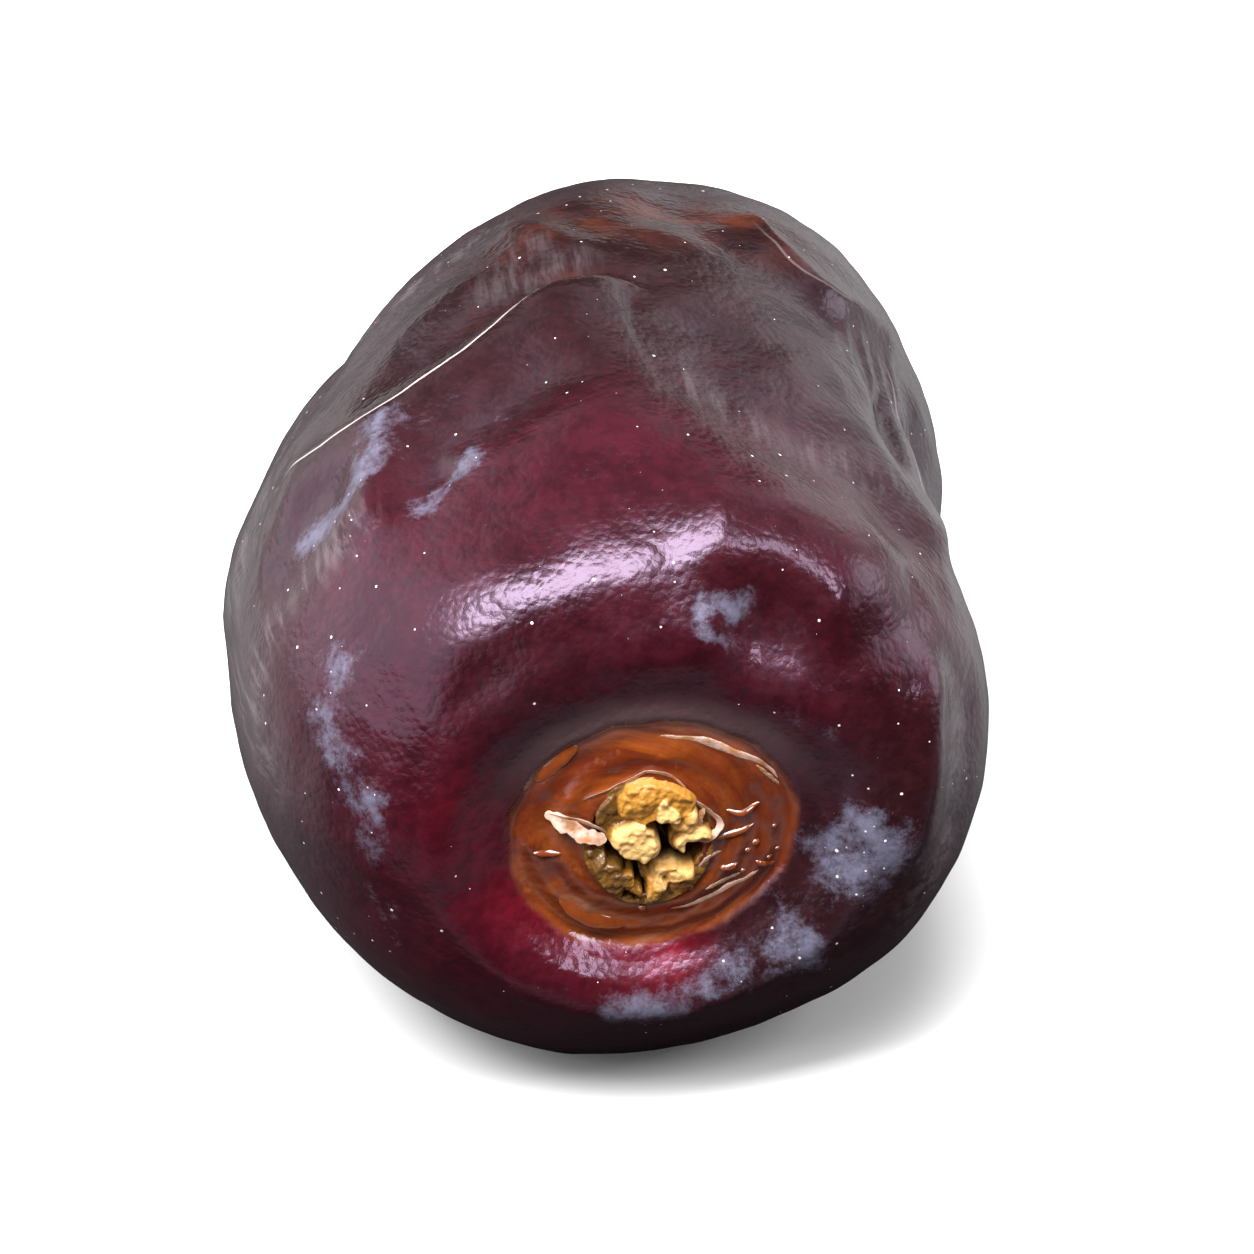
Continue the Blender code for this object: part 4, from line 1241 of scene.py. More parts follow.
@dataclass(frozen=True)
class SkinFinish:
    """The thin glossy skin with its wax, and the moist amber flesh of the scar."""

    effects: Effects
    dark: Colour = (0.018, 0.0050, 0.0055)
    plum: Colour = (0.034, 0.0024, 0.0062)
    crimson: Colour = (0.110, 0.0035, 0.0095)
    rust: Colour = (0.060, 0.013, 0.005)
    wax: Colour = (0.155, 0.155, 0.225)
    amber: Colour = (0.205, 0.044, 0.006)
    amber_dark: Colour = (0.095, 0.014, 0.003)
    amber_pale: Colour = (0.300, 0.090, 0.022)
    membrane: Colour = (0.230, 0.095, 0.050)
    # Painted shade inside the stalk's hole
    painted_hole_shade: Colour = (0.060, 0.020, 0.006)
    dust_and_painted_glint: Colour = (0.75, 0.72, 0.72)
    # grey film streaks, partly a painted sheen
    film_and_painted_sheen: Colour = (0.30, 0.27, 0.29)
    # edge is a painted highlight along the sharp fold crests, shadow a painted shadow beside them
    edge: Colour = (0.86, 0.70, 0.68)
    shadow: Colour = (0.008, 0.003, 0.003)
    # Painted grey reflection band on the skin over the scar, and painted shadow on the scar's upper edge
    painted_reflection_shadow: Colour = (0.075, 0.050, 0.052)

    def colours(self, wiring: Wiring, place: object, mottle: object, fine: object, scar: object,
                wax: object) -> bpy.types.NodeSocket:
        """Colour of the skin and the scar.

        Args:
            wiring: the material's wiring.
            place: socket of the place.
            mottle: broad noise.
            fine: fine noise.
            scar: 1 on the scar.
            wax: 1 under the wax.

        Returns:
            Socket of the colour.
        """
        skin = wiring.blend(wiring.mark("plum"), self.dark, self.plum)
        skin = wiring.blend(wiring.times(wiring.mark("rust"), wiring.span(mottle, 0.35, 0.65)),
                            skin, self.rust)
        skin = wiring.blend(wiring.mark("crimson"), skin, self.crimson)
        shade = wiring.span(wiring.maths("ADD", mottle, fine), 0.75, 1.3, 0.7, 1.3)
        skin = wiring.blend(1.0, skin, shade, "MULTIPLY")
        # Painted grey reflection band on the skin just over the scar
        painted_reflection_shadow = wiring.times(wiring.span(wiring.mark("to_edge"), 1.1, 1.32, 1.0, 0.0),
                              wiring.mark("over_scar"))
        skin = wiring.blend(wiring.times(painted_reflection_shadow, 0.6), skin, self.painted_reflection_shadow)
        skin = wiring.blend(wax, skin, self.wax)
        rings = wiring.node("ShaderNodeVectorMath", operation="ADD")
        wiring.feed(rings.inputs[0], wiring.stretch(place, (0.35, 0.35, 0.35)))
        wiring.feed(rings.inputs[1], wiring.along_x(wiring.times(wiring.mark("to_edge"), 4.5 * MM)))
        drawn = wiring.noise(rings.outputs[0], 0.8, 4.0, 0.6)
        flesh = wiring.blend(wiring.span(drawn, 0.36, 0.62), self.amber_dark, self.amber)
        flesh = wiring.blend(wiring.span(mottle, 0.5, 0.7, 0.0, 0.6), flesh, self.amber_dark)
        flesh = wiring.blend(wiring.span(drawn, 0.58, 0.74, 0.0, 0.65), flesh, self.membrane)
        flesh = wiring.blend(wiring.span(fine, 0.6, 0.75, 0.0, 0.35), flesh, self.amber_pale)
        flesh = wiring.blend(wiring.times(wiring.mark("deep"), 0.8), flesh, self.amber_dark)
        # Painted shadow on the scar's upper edge, under the skin's lip
        painted_rim_shadow = wiring.times(wiring.span(wiring.mark("to_edge"), 0.78, 1.0),
                                 wiring.mark("over_scar"))
        flesh = wiring.blend(wiring.times(painted_rim_shadow, 0.55), flesh, self.painted_reflection_shadow)
        # Painted shade inside the stalk's hole
        flesh = wiring.blend(wiring.span(wiring.mark("to_rim"), 0.75, 1.02, 1.0, 0.0), flesh, self.painted_hole_shade)
        return wiring.blend(scar, skin, flesh)

    def material(self) -> bpy.types.Material:
        """Build the material.

        Returns:
            The finish of the fruit.
        """
        material, wiring, shader = new_material("date_skin_finish")
        place = wiring.place()
        ragged = wiring.noise(place, 0.5, 3.0, 0.6)
        mottle = wiring.noise(place, 2.6, 4.0, 0.62)
        edge = wiring.maths("ADD", wiring.mark("to_edge"), wiring.times(ragged, 0.06))
        scar = wiring.span(edge, 0.99, 1.05, 1.0, 0.0)
        flakes = wiring.noise(place, 1.1, 6.0, 0.78)
        wax_field = wiring.maths("ADD", wiring.times(wiring.mark("wax"), 0.42), flakes)
        wax = wiring.span(wax_field, 0.66, 1.0, 0.0, 0.75)
        drawn_out = wiring.noise(wiring.stretch(place, (1.0, 0.10, 1.0)), 0.42, 4.0, 0.65)
        mist = wiring.times(wiring.mark("hollow"), wiring.span(flakes, 0.35, 0.65, 0.0, 0.05))
        wax = wiring.times(wiring.larger(wax, mist), wiring.off(scar))
        # Grey film streaks, partly a painted sheen along the rims and the grey fold
        film_and_painted_sheen = wiring.times(wiring.mark("film_and_painted_sheen"), wiring.span(drawn_out, 0.42, 0.68, 0.05, 1.0))
        film_and_painted_sheen = wiring.times(film_and_painted_sheen, wiring.off(scar))
        colour = self.colours(wiring, place, mottle, ragged, scar, wax)
        colour = wiring.blend(wiring.times(film_and_painted_sheen, 0.5), colour, self.film_and_painted_sheen)
        wobble = wiring.times(wiring.maths("SUBTRACT", ragged, 0.5), 0.6)
        beside = wiring.maths("ADD", wiring.mark("beside_edge"), wobble)
        # Painted shadow beside each sharp fold crest
        shadow = wiring.times(wiring.span(beside, 0.7, 1.5), wiring.span(beside, 1.8, 4.6, 1.0, 0.0))
        shadow = wiring.times(shadow, wiring.mark("edge"))
        colour = wiring.blend(wiring.times(shadow, 0.6), colour, self.shadow)
        # Painted highlight along the sharp fold crest
        crest = wiring.span(wiring.maths("ABSOLUTE", wiring.maths("ADD", beside, 0.8)), 0.35, 1.0, 1.0, 0.0)
        crest = wiring.times(crest, wiring.mark("edge"))
        colour = wiring.blend(crest, colour, self.edge)
        specks = wiring.group(self.effects.dust_and_painted_glint, Place=place, Scale=1.0 / (0.5 * MM), Size=0.06)
        # Painted glints: white specks scattered over the wax
        glints = wiring.group(self.effects.dust_and_painted_glint, Place=place, Scale=1.0 / (0.3 * MM), Size=0.12)
        glint = wiring.times(glints.outputs["Mask"], wiring.span(wax, 0.1, 0.4))
        speck = wiring.times(wiring.larger(specks.outputs["Mask"], glint),
                             wiring.off(scar))
        colour = wiring.blend(speck, colour, self.dust_and_painted_glint)
        wiring.feed(shader.inputs["Base Color"], colour)
        worn = wiring.span(mottle, 0.3, 0.7, 0.19, 0.27)
        rough = wiring.maths("ADD", worn, wiring.times(wax, 0.3))
        rough = wiring.maths("SUBTRACT", rough, wiring.times(scar, 0.06), clamp=True)
        wiring.feed(shader.inputs["Roughness"], rough)
        wiring.feed(shader.inputs["Coat Weight"], wiring.times(scar, 0.7))
        shader.inputs["Coat Roughness"].default_value = 0.13
        shader.inputs["Specular Tint"].default_value = (0.90, 0.70, 1.0, 1.0)
        grain = wiring.group(self.effects.grain, Place=place, Scale=1.0 / (0.27 * MM), Stir=0.4)
        wiring.roughen(shader, grain.outputs["Height"], 0.019)
        return material


@dataclass(frozen=True)
class FibreFinish:
    """The dry straw-coloured fibres, paler on their torn tops, with painted shade down in the cracks."""

    effects: Effects
    cream: Colour = (0.66, 0.40, 0.14)
    golden: Colour = (0.40, 0.175, 0.020)
    olive: Colour = (0.115, 0.052, 0.011)
    # painted shade for the low parts between the lobes
    deep: Colour = (0.020, 0.008, 0.003)

    def material(self) -> bpy.types.Material:
        """Build the material.

        Returns:
            The finish of the fibres.
        """
        material, wiring, shader = new_material("stalk_fibre_finish")
        place = wiring.place()
        blotch = wiring.noise(place, 0.6, 4.0, 0.65)
        tone = wiring.maths("ADD", wiring.mark("tone"), wiring.times(wiring.maths(
            "SUBTRACT", blotch, 0.5), 0.9))
        colour = wiring.blend(wiring.span(tone, 0.2, 0.55), self.olive, self.golden)
        colour = wiring.blend(wiring.span(tone, 0.65, 0.95), colour, self.cream)
        # Painted shade: the lower the fibres lie, the darker
        colour = wiring.blend(wiring.span(wiring.mark("height"), 0.2, 0.6, 1.0, 0.0), colour, self.deep)
        wiring.feed(shader.inputs["Base Color"], colour)
        wiring.feed(shader.inputs["Roughness"], wiring.span(tone, 0.2, 0.7, 0.16, 0.55))
        grain = wiring.group(self.effects.grain, Place=place, Scale=1.0 / (0.16 * MM), Stir=1.0)
        wiring.roughen(shader, grain.outputs["Height"], 0.03)
        return material


@dataclass(frozen=True)
class TornSkinFinish:
    """Thin dry membrane, torn off the scar: pinkish white, amber where it is thicker."""

    effects: Effects
    pale: Colour = (0.62, 0.42, 0.34)
    warm: Colour = (0.38, 0.17, 0.07)

    def material(self) -> bpy.types.Material:
        """Build the material.

        Returns:
            The finish of the torn skin.
        """
        material, wiring, shader = new_material("torn_skin_finish")
        place = wiring.place()
        cloudy = wiring.span(wiring.noise(place, 0.5, 3.0, 0.6), 0.35, 0.65)
        colour = wiring.blend(cloudy, self.warm, self.pale)
        wiring.feed(shader.inputs["Base Color"], colour)
        shader.inputs["Roughness"].default_value = 0.45
        grain = wiring.group(self.effects.grain, Place=place, Scale=1.0 / (0.12 * MM), Stir=0.5)
        wiring.roughen(shader, grain.outputs["Height"], 0.012)
        return material


@dataclass(frozen=True)
class SyrupFinish:
    """The date's own syrup, wet and amber."""

    amber: Colour = (0.20, 0.045, 0.007)
    dark: Colour = (0.11, 0.018, 0.004)

    def material(self) -> bpy.types.Material:
        """Build the material.

        Returns:
            The finish of the syrup.
        """
        material, wiring, shader = new_material("scar_syrup_finish")
        cloudy = wiring.noise(wiring.place(), 0.4, 2.0, 0.6)
        wiring.feed(shader.inputs["Base Color"], wiring.blend(cloudy, self.dark, self.amber))
        shader.inputs["Roughness"].default_value = 0.08
        shader.inputs["Coat Weight"].default_value = 1.0
        shader.inputs["Coat Roughness"].default_value = 0.03
        return material


# The torn fibres

@dataclass(frozen=True)
class Lobe:
    """One torn lobe of the tuft, in a disc of radius 1."""

    middle: tuple[float, float]
    reach: tuple[float, float]
    turn: float
    top: float
    tone: float

    def size(self, u: np.ndarray, v: np.ndarray) -> np.ndarray:
        """Distance from the lobe's middle as a share of its reach.

        It is a mean of the round distance and the square one, so the outline has blunt corners.

        Args:
            u: places across the disc.
            v: places up the disc.

        Returns:
            Shares, 1 at the lobe's edge.
        """
        across, up = u - self.middle[0], v - self.middle[1]
        cos, sin = math.cos(math.radians(self.turn)), math.sin(math.radians(self.turn))
        first = np.abs(across * cos + up * sin) / self.reach[0]
        second = np.abs(up * cos - across * sin) / self.reach[1]
        return 0.55 * np.hypot(first, second) + 0.5 * np.maximum(first, second)


@dataclass(frozen=True)
class Crack:
    """A crack between the lobes, in the same disc; the finish paints it with shade."""

    points: Line
    width: float


@dataclass
class StalkFibres:
    """The torn tuft in the hole of the scar: a root, its lobes and the cracks between them."""

    finish: FibreFinish
    barrel: Barrel = field(default_factory=Barrel)
    stem_end: StemEnd = field(default_factory=StemEnd)
    gap: float = 0.32
    half_width: float = 1.95
    half_height: float = 2.25
    flare: float = 0.1
    body: float = 1.24
    body_tone: float = 0.28
    top: float = 2.0
    crown: float = 0.10
    crack_floor: float = 0.2
    fraying: float = 0.022
    fray_pitch: float = 0.28
    broad_fray: float = 2.0
    broad_fray_pitch: float = 2.2
    lobe_edge: tuple[float, float] = (0.7, 1.05)
    tone_edge: tuple[float, float] = (0.85, 1.0)
    crumb_reach: tuple[float, float] = (0.035, 0.10)
    crumb_height: tuple[float, float] = (-0.035, 0.045)
    crumbs_within: float = 0.95
    wall: float = 0.9
    low_relief: float = 0.62
    rings: int = 64
    crumbs: int = 230

    def lobes(self) -> list[Lobe]:
        """The torn lobes: cream in the middle, golden over it and to the right, olive below left.

        Returns:
            The lobes.
        """
        return [
            Lobe((0.16, 0.60), (0.66, 0.40), -16.0, 1.74, 0.5),
            Lobe((-0.21, 0.07), (0.44, 0.34), 15.0, 1.95, 1.0),
            Lobe((-0.21, 0.66), (0.30, 0.24), 0.0, 1.84, 0.62),
            Lobe((0.09, 0.84), (0.34, 0.16), 0.0, 1.72, 0.6),
            Lobe((0.24, 0.52), (0.20, 0.22), 0.0, 1.95, 0.95),
            Lobe((0.56, 0.34), (0.22, 0.34), -30.0, 1.78, 0.8),
            Lobe((0.70, 0.06), (0.26, 0.18), 20.0, 1.66, 0.92),
            Lobe((-0.72, 0.62), (0.30, 0.26), 30.0, 1.42, 0.1),
            Lobe((-0.62, -0.46), (0.38, 0.40), 35.0, 1.66, 0.14),
            Lobe((-0.32, -0.62), (0.20, 0.24), 0.0, 1.56, 0.42),
            Lobe((0.38, -0.50), (0.34, 0.20), 18.0, 1.62, 0.86),
            Lobe((0.06, -0.66), (0.16, 0.26), -25.0, 1.5, 0.78),
            Lobe((0.58, -0.74), (0.24, 0.18), 30.0, 1.3, 0.35),
        ]

    def cracks(self) -> list[Crack]:
        """The cracks that divide the lobes, which the finish paints with shade.

        Returns:
            The cracks.
        """
        return [
            Crack([(-1.0, 0.42), (-0.79, 0.12), (-0.52, -0.17), (-0.19, -0.29), (0.10, -0.31)], 0.105),
            Crack([(0.05, -0.31), (0.28, -0.27), (0.46, -0.26), (0.72, -0.17)], 0.19),
            Crack([(0.09, 0.30), (0.24, 0.12), (0.34, -0.15)], 0.11),
            Crack([(-0.22, -0.34), (-0.16, -0.58), (-0.06, -0.86)], 0.075),
            Crack([(-0.34, -0.84), (-0.20, -0.94)], 0.1),
        ]

    def height(self, u: np.ndarray, v: np.ndarray) -> tuple[np.ndarray, np.ndarray]:
        """Height over the base: the tallest lobe, with crumbs on it, less the cracks.

        Args:
            u: places across the disc.
            v: places up the disc.

        Returns:
            Heights in millimetres, and the tone of the lobe at each place.
        """
        height = np.full(u.shape, self.body)
        tone = np.full(u.shape, self.body_tone)
        places = np.stack([u, v], axis=-1)
        broad_pitch = self.broad_fray_pitch * self.fray_pitch
        broad = self.broad_fray * self.fraying
        frayed_u = u + self.fraying * ripples(places, self.fray_pitch, 6, 31) + broad * ripples(
            places, broad_pitch, 6, 35)
        frayed_v = v + self.fraying * ripples(places, self.fray_pitch, 6, 32) + broad * ripples(
            places, broad_pitch, 6, 36)
        for lobe in self.lobes():
            size = lobe.size(frayed_u, frayed_v)
            inside = 1.0 - smoothstep(*self.lobe_edge, size)
            rise = self.body + self.low_relief * (lobe.top - self.body) * inside
            rise += self.crown * np.clip(1.0 - size, 0.0, 1.0)
            tone = np.where(rise > height, self.body_tone + (lobe.tone - self.body_tone)
                            * (1.0 - smoothstep(*self.tone_edge, size)), tone)
            height = np.maximum(height, rise)
        height += 0.02 * ripples(places, 0.34, 8, 33) + 0.007 * ripples(places, 0.12, 8, 34)
        random = np.random.default_rng(11)
        for _ in range(self.crumbs):
            turn, out = random.uniform(0.0, 2 * math.pi), math.sqrt(random.uniform(0.0, self.crumbs_within))
            reach = random.uniform(*self.crumb_reach)
            size = np.hypot(u - out * math.cos(turn), v - out * math.sin(turn)) / reach
            height += random.uniform(*self.crumb_height) * (1.0 - smoothstep(0.4, 1.0, size))
        for crack in self.cracks():
            distance = measure_to_line(np.array(crack.points), np.stack([frayed_u, frayed_v], axis=-1))[0]
            share = 1.0 - smoothstep(0.5, 1.0, np.abs(distance) / crack.width)
            height += (self.crack_floor - height) * share
        edge = smoothstep(self.wall, 1.0, np.hypot(u, v))
        return height + (np.minimum(height, self.body) - height) * edge, tone

    def surface(self, u: np.ndarray, v: np.ndarray, height: np.ndarray) -> Points:
        """Places of the tuft in the fruit's own frame, which widens as it rises.

        Args:
            u: places across the disc.
            v: places up the disc.
            height: heights over the base.

        Returns:
            The points.
        """
        flare = 1.0 + self.flare * height / self.top
        base_y = (-self.barrel.length / 2 + self.stem_end.basin_depth + self.stem_end.scar_step
                  - self.stem_end.scar_dome + self.stem_end.hole_depth - self.stem_end.ring_height - self.gap)
        x = self.barrel.scar_x + self.stem_end.hole_x + self.half_width * flare * u
        z = self.barrel.scar_z + self.stem_end.hole_z + self.half_height * flare * v
        return np.stack([x, base_y - height, z], axis=-1)

    def build(self, placement: Placement) -> bpy.types.Object:
        """Make the tuft's piece: a netted top, a netted base and a wall.

        Args:
            placement: how the fruit was set down.

        Returns:
            The piece.
        """
        counts = disc_counts(self.rings)
        share = np.repeat(np.arange(self.rings + 1) / self.rings, counts)
        phi = np.concatenate([np.arange(count) * 2 * math.pi / count for count in counts])
        u, v = share * np.cos(phi), share * np.sin(phi)
        height, tone = self.height(u, v)
        points = np.concatenate([self.surface(u, v, height), self.surface(u, v, np.zeros(u.shape))])
        size, last = len(u), counts[-1]
        k = np.arange(last)
        rim = size - last
        wall = np.stack([rim + k, size + rim + k, size + rim + (k + 1) % last, rim + (k + 1) % last], axis=1)
        faces = np.concatenate([net_faces(counts), net_faces(counts, size)[:, ::-1], wall])
        marks = {"height": np.concatenate([height, np.zeros(size)]) / self.top,
                 "tone": np.concatenate([tone, np.zeros(size)])}
        piece = put_in_mesh("torn_stalk_fibres", placement.settle(points), faces,
                            self.finish.material(), marks)
        LOG.info("fibres: %d faces, up to %.2f mm high", len(faces), height.max())
        return piece


# What lies on the scar

@dataclass(frozen=True)
class Shred:
    """A strip that lies or stands on the scar, along places from the scar's middle.

    Its section is an ellipse, `across` and `thick` in half sizes, which lies flat at a tilt of 0
    and stands up at 90 degrees. It lies `lift` above the scar. Both ends run out to a point.
    """

    points: Line
    across: float
    thick: float
    tilt: float
    lift: float


@dataclass
class OnScar:
    """Strips on the scar that make up one piece."""

    name: str
    shreds: list[Shred]
    material: bpy.types.Material
    blunt: float
    ragged: float
    barrel: Barrel = field(default_factory=Barrel)
    stem_end: StemEnd = field(default_factory=StemEnd)
    stations: int = 33
    spokes: int = 14

    def level(self, x: np.ndarray, z: np.ndarray) -> np.ndarray:
        """Where the scar's surface lies along Y, at places from its middle.

        The plain barrel there is a superellipse: |y| to the power plus rho to the power is 1.

        Args:
            x: places across, from the scar's middle.
            z: places up.

        Returns:
            Places along Y in millimetres.
        """
        power = self.barrel.stem_power
        rho = np.hypot(x / (self.barrel.width / 2), z / (self.barrel.height / 2))
        plain = -self.barrel.length / 2 * (1.0 - rho ** power) ** (1.0 / power)
        return plain + self.stem_end.floor(x, z)

    def strip(self, shred: Shred, start: int) -> tuple[Points, np.ndarray]:
        """One closed strip: ellipses across its line, joined and capped.

        Args:
            shred: the strip.
            start: number of its first point.

        Returns:
            Its points and its faces, as rows of four point numbers.
        """
        line = smooth_line(shred.points, 8)
        walked = np.concatenate([[0.0], np.cumsum(np.linalg.norm(np.diff(line, axis=0), axis=1))])
        share = 0.5 - 0.5 * np.cos(np.linspace(0.0, math.pi, self.stations))
        line = np.stack([np.interp(share * walked[-1], walked, line[:, k]) for k in (0, 1)], axis=-1)
        ahead = np.gradient(line, axis=0)
        ahead /= np.linalg.norm(ahead, axis=1, keepdims=True)
        spoke = np.arange(self.spokes) * 2 * math.pi / self.spokes
        taper = np.clip(np.sin(math.pi * np.clip(share, 0.004, 0.996)), 0.0, 1.0) ** self.blunt
        wavy = 1.0 + self.ragged * (np.sin(19.0 * share + 3.0 * line[0, 0]) + 0.6 * np.sin(43.0 * share))
        wide = (shred.across * taper * wavy)[:, None] * np.cos(spoke)
        deep = (shred.thick * taper)[:, None] * np.sin(spoke)
        cos, sin = math.cos(math.radians(shred.tilt)), math.sin(math.radians(shred.tilt))
        aside, out = wide * cos - deep * sin, wide * sin + deep * cos
        x = line[:, :1] - ahead[:, 1:] * aside
        z = line[:, 1:] + ahead[:, :1] * aside
        y = self.level(line[:, 0], line[:, 1])[:, None] - shred.lift - out
        points = np.stack([self.barrel.scar_x + x, y, self.barrel.scar_z + z], axis=-1).reshape(-1, 3)
        ring, k = np.meshgrid(np.arange(self.stations - 1), np.arange(self.spokes), indexing="ij")
        first, second = ring * self.spokes + k, ring * self.spokes + (k + 1) % self.spokes
        faces = np.stack([first, second, second + self.spokes, first + self.spokes], axis=-1).reshape(-1, 4)
        half = self.spokes // 2
        rung = np.arange(half - 1)
        cap = np.stack([rung, self.spokes - 1 - rung, self.spokes - 2 - rung, rung + 1], axis=-1)
        far = cap[:, ::-1] + (self.stations - 1) * self.spokes
        return points, np.concatenate([faces, cap, far]) + start

    def build(self, placement: Placement) -> bpy.types.Object:
        """Make the piece.

        Args:
            placement: how the fruit was set down.

        Returns:
            The piece.
        """
        size = self.stations * self.spokes
        strips = [self.strip(shred, index * size) for index, shred in enumerate(self.shreds)]
        points = np.concatenate([strip[0] for strip in strips])
        faces = np.concatenate([strip[1] for strip in strips])
        piece = put_in_mesh(self.name, placement.settle(points), faces, self.material, {})
        LOG.info("%s: %d strips, %d faces", self.name, len(strips), len(faces))
        return piece


def torn_shreds() -> list[Shred]:
    """Torn membrane round the tuft and the flap to its left.

    Returns:
        The strips.
    """
    return [
        Shred([(-3.35, 0.80), (-2.70, 0.50), (-2.1, 0.16), (-1.45, -0.12)], 0.33, 0.022, -22.0, 0.10),
        Shred([(-3.25, 0.84), (-2.5, 0.74), (-1.85, 0.56), (-1.45, 0.2)], 0.10, 0.022, 30.0, 0.16),
        Shred([(-2.15, 1.34), (-1.45, 1.62), (-0.68, 1.98), (-0.15, 2.24), (0.54, 2.08), (1.05, 1.66)],
              0.17, 0.022, 35.0, 0.02),
        Shred([(1.15, 1.35), (1.74, 0.80), (2.10, 0.26), (1.80, -0.25), (1.45, -0.38)],
              0.17, 0.022, 40.0, 0.06),
        Shred([(1.62, 0.95), (1.45, 0.35), (1.66, -0.1)], 0.12, 0.022, 30.0, 0.08),
        Shred([(0.60, -3.02), (1.74, -2.78), (2.80, -2.22), (3.40, -1.80)], 0.13, 0.03, 15.0, 0.0),
        Shred([(1.45, -1.55), (1.72, -1.10), (2.2, -0.9)], 0.10, 0.022, 25.0, 0.02),
        Shred([(1.70, -2.32), (2.35, -2.06), (2.85, -1.85)], 0.11, 0.025, 20.0, 0.0),
        Shred([(0.3, 3.32), (1.5, 3.10), (2.45, 2.70), (3.25, 2.24), (3.75, 1.80), (4.0, 1.4)],
              0.17, 0.03, 12.0, -0.01),
        Shred([(3.3, 2.1), (3.7, 1.6), (4.05, 1.2)], 0.13, 0.025, 25.0, 0.0),
    ]


def syrup_shreds() -> list[Shred]:
    """Wet ridges and beads of syrup, half sunk in the scar.

    Returns:
        The strips.
    """
    ridges = [[(2.35, 0.62), (2.85, 0.52), (3.42, 0.72)], [(1.95, -0.38), (2.6, -0.22), (3.25, -0.02)],
              [(-3.72, -0.60), (-3.3, -0.66), (-2.86, -0.64)], [(3.3, -1.42), (3.7, -1.62), (3.95, -1.68)],
              [(2.15, -1.5), (2.42, -1.46), (2.72, -1.36)], [(-3.6, 1.9), (-3.0, 2.6), (-2.3, 3.1)],
              [(-2.9, -2.5), (-2.0, -3.2), (-0.8, -3.62)]]
    beads = [(3.30, -0.72), (2.25, -1.50), (3.05, -0.95), (3.75, -1.35), (4.02, -1.15), (-1.43, -1.21),
             (-0.82, -2.46), (-0.46, -2.62), (3.9, -0.2), (-0.3, -2.86), (1.2, -2.2), (2.9, -1.75)]
    tilt = -48.0
    strips = [Shred(points, 0.14, 0.07, tilt, 0.0) for points in ridges[:5]]
    strips += [Shred(points, 0.30, 0.09, -20.0, 0.0) for points in ridges[5:]]
    sizes = np.random.default_rng(5).uniform(0.08, 0.14, len(beads))
    for (x, z), size in zip(beads, sizes):
        line = [(x - size, z), (x, z), (x + size, z)]
        strips.append(Shred(line, float(size), 0.6 * float(size), tilt, 0.0))
    return strips


# Studio

@dataclass(frozen=True)
class Panel:
    """A soft light panel that faces the fruit, with its long side along a given direction."""

    name: str
    toward: tuple[float, float, float]
    distance: float
    run: tuple[float, float, float]
    size: tuple[float, float]
    radiance: float

    def build(self, target: Vector) -> None:
        """Hang the panel.

        Args:
            target: the point that it faces.
        """
        away = Vector(self.toward).normalized()
        side = Vector(self.run)
        side = (side - away * side.dot(away)).normalized()
        turn = Matrix((side, away.cross(side), away)).transposed()
        light = bpy.data.lights.new(self.name, "AREA")
        light.shape = "RECTANGLE"
        light.size, light.size_y = self.size
        light.energy = self.radiance * math.pi * self.size[0] * self.size[1]
        holder = bpy.data.objects.new(self.name, light)
        holder.location = target + away * self.distance
        holder.rotation_euler = turn.to_euler()
        holder.visible_camera = False
        bpy.context.scene.collection.objects.link(holder)


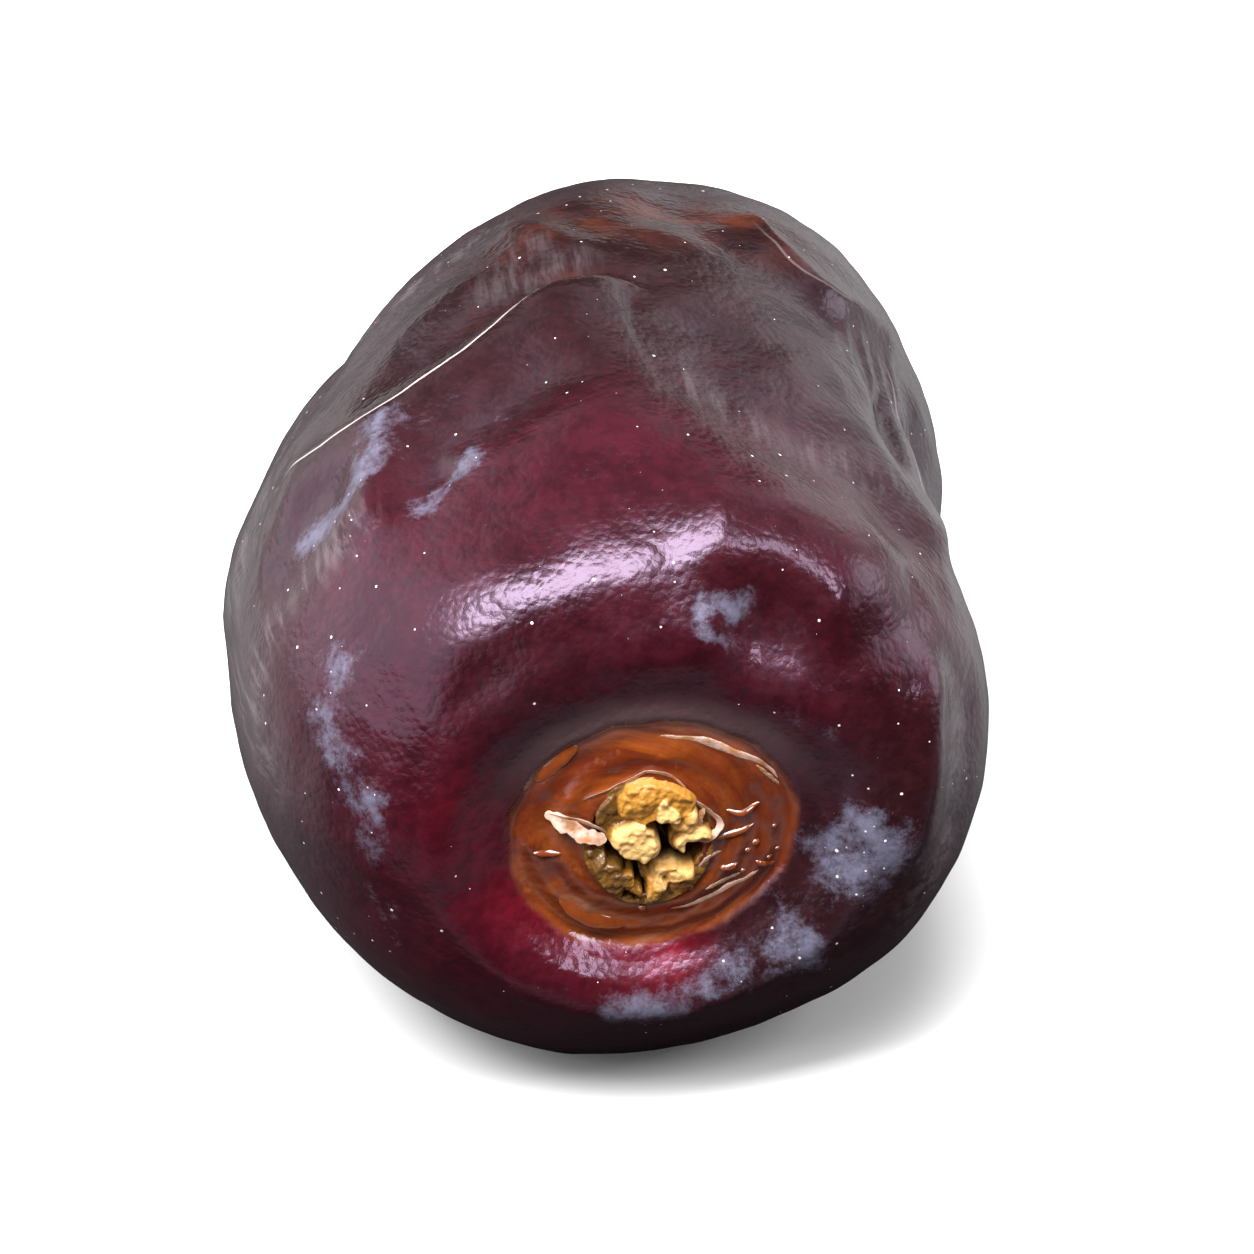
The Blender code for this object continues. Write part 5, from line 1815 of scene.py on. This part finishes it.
@dataclass
class Studio:
    """The pale floor, the white surroundings, the light panels and the camera."""

    placement: Placement
    floor_half: float = 3.0
    floor_seen: Colour = (0.80, 0.80, 0.80)
    floor_dark: Colour = (0.02, 0.015, 0.018)
    floor_lit: Colour = (0.26, 0.26, 0.26)
    camera_place: tuple[float, float, float] = (-26.59, -253.02, 170.28)
    camera_target: tuple[float, float, float] = (0.9, -2.2, 10.6)
    lens: float = 263.0
    sensor: float = 36.0

    def build_floor(self) -> bpy.types.Object:
        """Lay the floor: one square face that is pale for the camera and dimmer in reflections.

        Returns:
            The floor.
        """
        half = self.floor_half
        mesh = bpy.data.meshes.new("pale_floor")
        mesh.from_pydata([(-half, -half, 0.0), (half, -half, 0.0), (half, half, 0.0), (-half, half, 0.0)],
                         [], [(0, 1, 2, 3)])
        material, wiring, shader = new_material("pale_floor_finish")
        seen = wiring.node("ShaderNodeLightPath").outputs["Is Camera Ray"]
        spot = wiring.node("ShaderNodeSeparateXYZ")
        wiring.feed(spot.inputs[0], wiring.place())
        aside = wiring.span(wiring.maths("ABSOLUTE", spot.outputs["X"]), 0.012, 0.032, 0.12, 1.0)
        away = wiring.times(aside, wiring.span(spot.outputs["Y"], -0.022, 0.002))
        ahead = wiring.times(wiring.span(spot.outputs["Y"], -0.034, -0.026, 0.0, 0.4),
                             wiring.span(spot.outputs["Y"], -0.026, -0.018, 1.0, 0.0))
        mirrored = wiring.blend(wiring.larger(away, ahead), self.floor_dark, self.floor_lit)
        wiring.feed(shader.inputs["Base Color"], wiring.blend(seen, mirrored, self.floor_seen))
        shader.inputs["Roughness"].default_value = 0.9
        shader.inputs["Specular IOR Level"].default_value = 0.0
        mesh.materials.append(material)
        floor = bpy.data.objects.new("pale_floor", mesh)
        bpy.context.scene.collection.objects.link(floor)
        return floor

    def build_world(self) -> None:
        """Make the surroundings: white for the camera, bright behind and over the fruit, dim in front."""
        world = bpy.data.worlds.new("white_room")
        world.use_nodes = True
        world.node_tree.nodes.clear()
        wiring = Wiring(world.node_tree)
        toward = wiring.node("ShaderNodeSeparateXYZ")
        wiring.feed(toward.inputs[0], wiring.node("ShaderNodeTexCoord").outputs["Generated"])
        x, y, z = (toward.outputs[axis] for axis in "XYZ")
        aside = wiring.maths("ABSOLUTE", x)
        low = wiring.times(wiring.span(aside, 0.28, 0.56, 0.05, 1.5), wiring.span(z, -0.2, 0.1))
        low = wiring.times(low, wiring.span(x, 0.5, 0.78, 1.0, 0.35))
        high = wiring.times(wiring.span(z, 0.28, 0.62, 0.0, 1.0), wiring.span(z, 0.6, 0.9, 1.0, 0.5))
        high = wiring.times(high, wiring.span(aside, 0.05, 0.4, 0.45, 1.0))
        back = wiring.times(wiring.span(y, -0.35, 0.55), wiring.larger(low, high))
        left = wiring.times(wiring.span(x, -0.85, -0.3, 2.7, 0.0), wiring.span(z, -0.6, 0.0))
        right = wiring.times(wiring.span(x, 0.74, 0.94, 0.0, 3.8), wiring.span(y, -0.5, 0.2))
        sides = wiring.larger(left, right)
        room = wiring.node("ShaderNodeBackground")
        glow = wiring.larger(wiring.larger(back, sides), wiring.span(z, 0.3, 0.9, 0.06, 0.35))
        wiring.feed(room.inputs["Strength"], glow)
        seen = wiring.node("ShaderNodeBackground")
        mixer = wiring.node("ShaderNodeMixShader")
        wiring.feed(mixer.inputs[0], wiring.node("ShaderNodeLightPath").outputs["Is Camera Ray"])
        wiring.feed(mixer.inputs[1], room.outputs[0])
        wiring.feed(mixer.inputs[2], seen.outputs[0])
        wiring.feed(wiring.node("ShaderNodeOutputWorld").inputs[0], mixer.outputs[0])
        bpy.context.scene.world = world

    def build_camera(self) -> None:
        """Set up the camera at the photograph's viewing angle."""
        camera = bpy.data.cameras.new("camera")
        camera.lens, camera.sensor_width = self.lens, self.sensor
        camera.clip_start = 0.01
        holder = bpy.data.objects.new("camera", camera)
        place = Vector(self.placement.settle(np.array(self.camera_place)))
        target = Vector(self.placement.settle(np.array(self.camera_target)))
        holder.location = place
        holder.rotation_euler = (target - place).to_track_quat("-Z", "Y").to_euler()
        bpy.context.scene.collection.objects.link(holder)
        bpy.context.scene.camera = holder

    def build(self) -> None:
        """Build the whole studio."""
        self.build_floor()
        self.build_world()
        target = Vector((0.0, 0.0, 0.012))
        for panel in (Panel("key", (-0.24, -0.35, 0.9), 0.7, (0.85, 0.1, 0.35), (0.62, 0.28), 20.0),
                      Panel("key_glow", (-0.24, -0.35, 0.9), 0.75, (0.85, 0.1, 0.35), (0.95, 0.62), 3.5),
                      Panel("side_window", (0.57, -0.46, 0.67), 0.7, (0.6, -0.7, -0.5), (0.24, 0.14), 14.0)):
            panel.build(target)
        self.build_camera()
        bpy.context.scene.view_settings.view_transform = "Standard"
        LOG.info("studio: floor, surroundings, panels and camera")


def main() -> None:
    """Build the pieces in order and the studio round them."""
    logging.basicConfig(level=logging.INFO, format="%(name)s: %(message)s")
    effects = Effects()
    fruit, placement = DateFruit(SkinFinish(effects)).build()
    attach(fruit, "root")
    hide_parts("date_fruit")
    fibres = StalkFibres(FibreFinish(effects)).build(placement)
    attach(fibres, "root")
    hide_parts("stalk_fibres")
    torn = OnScar("torn_scar_skin", torn_shreds(), TornSkinFinish(effects).material(), 0.45, 0.16)
    syrup = OnScar("scar_syrup", syrup_shreds(), SyrupFinish().material(), 0.5, 0.05)
    for laid in (torn, syrup):
        piece = laid.build(placement)
        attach(piece, "root")
    Studio(placement).build()


if __name__ == "__main__":
    main()
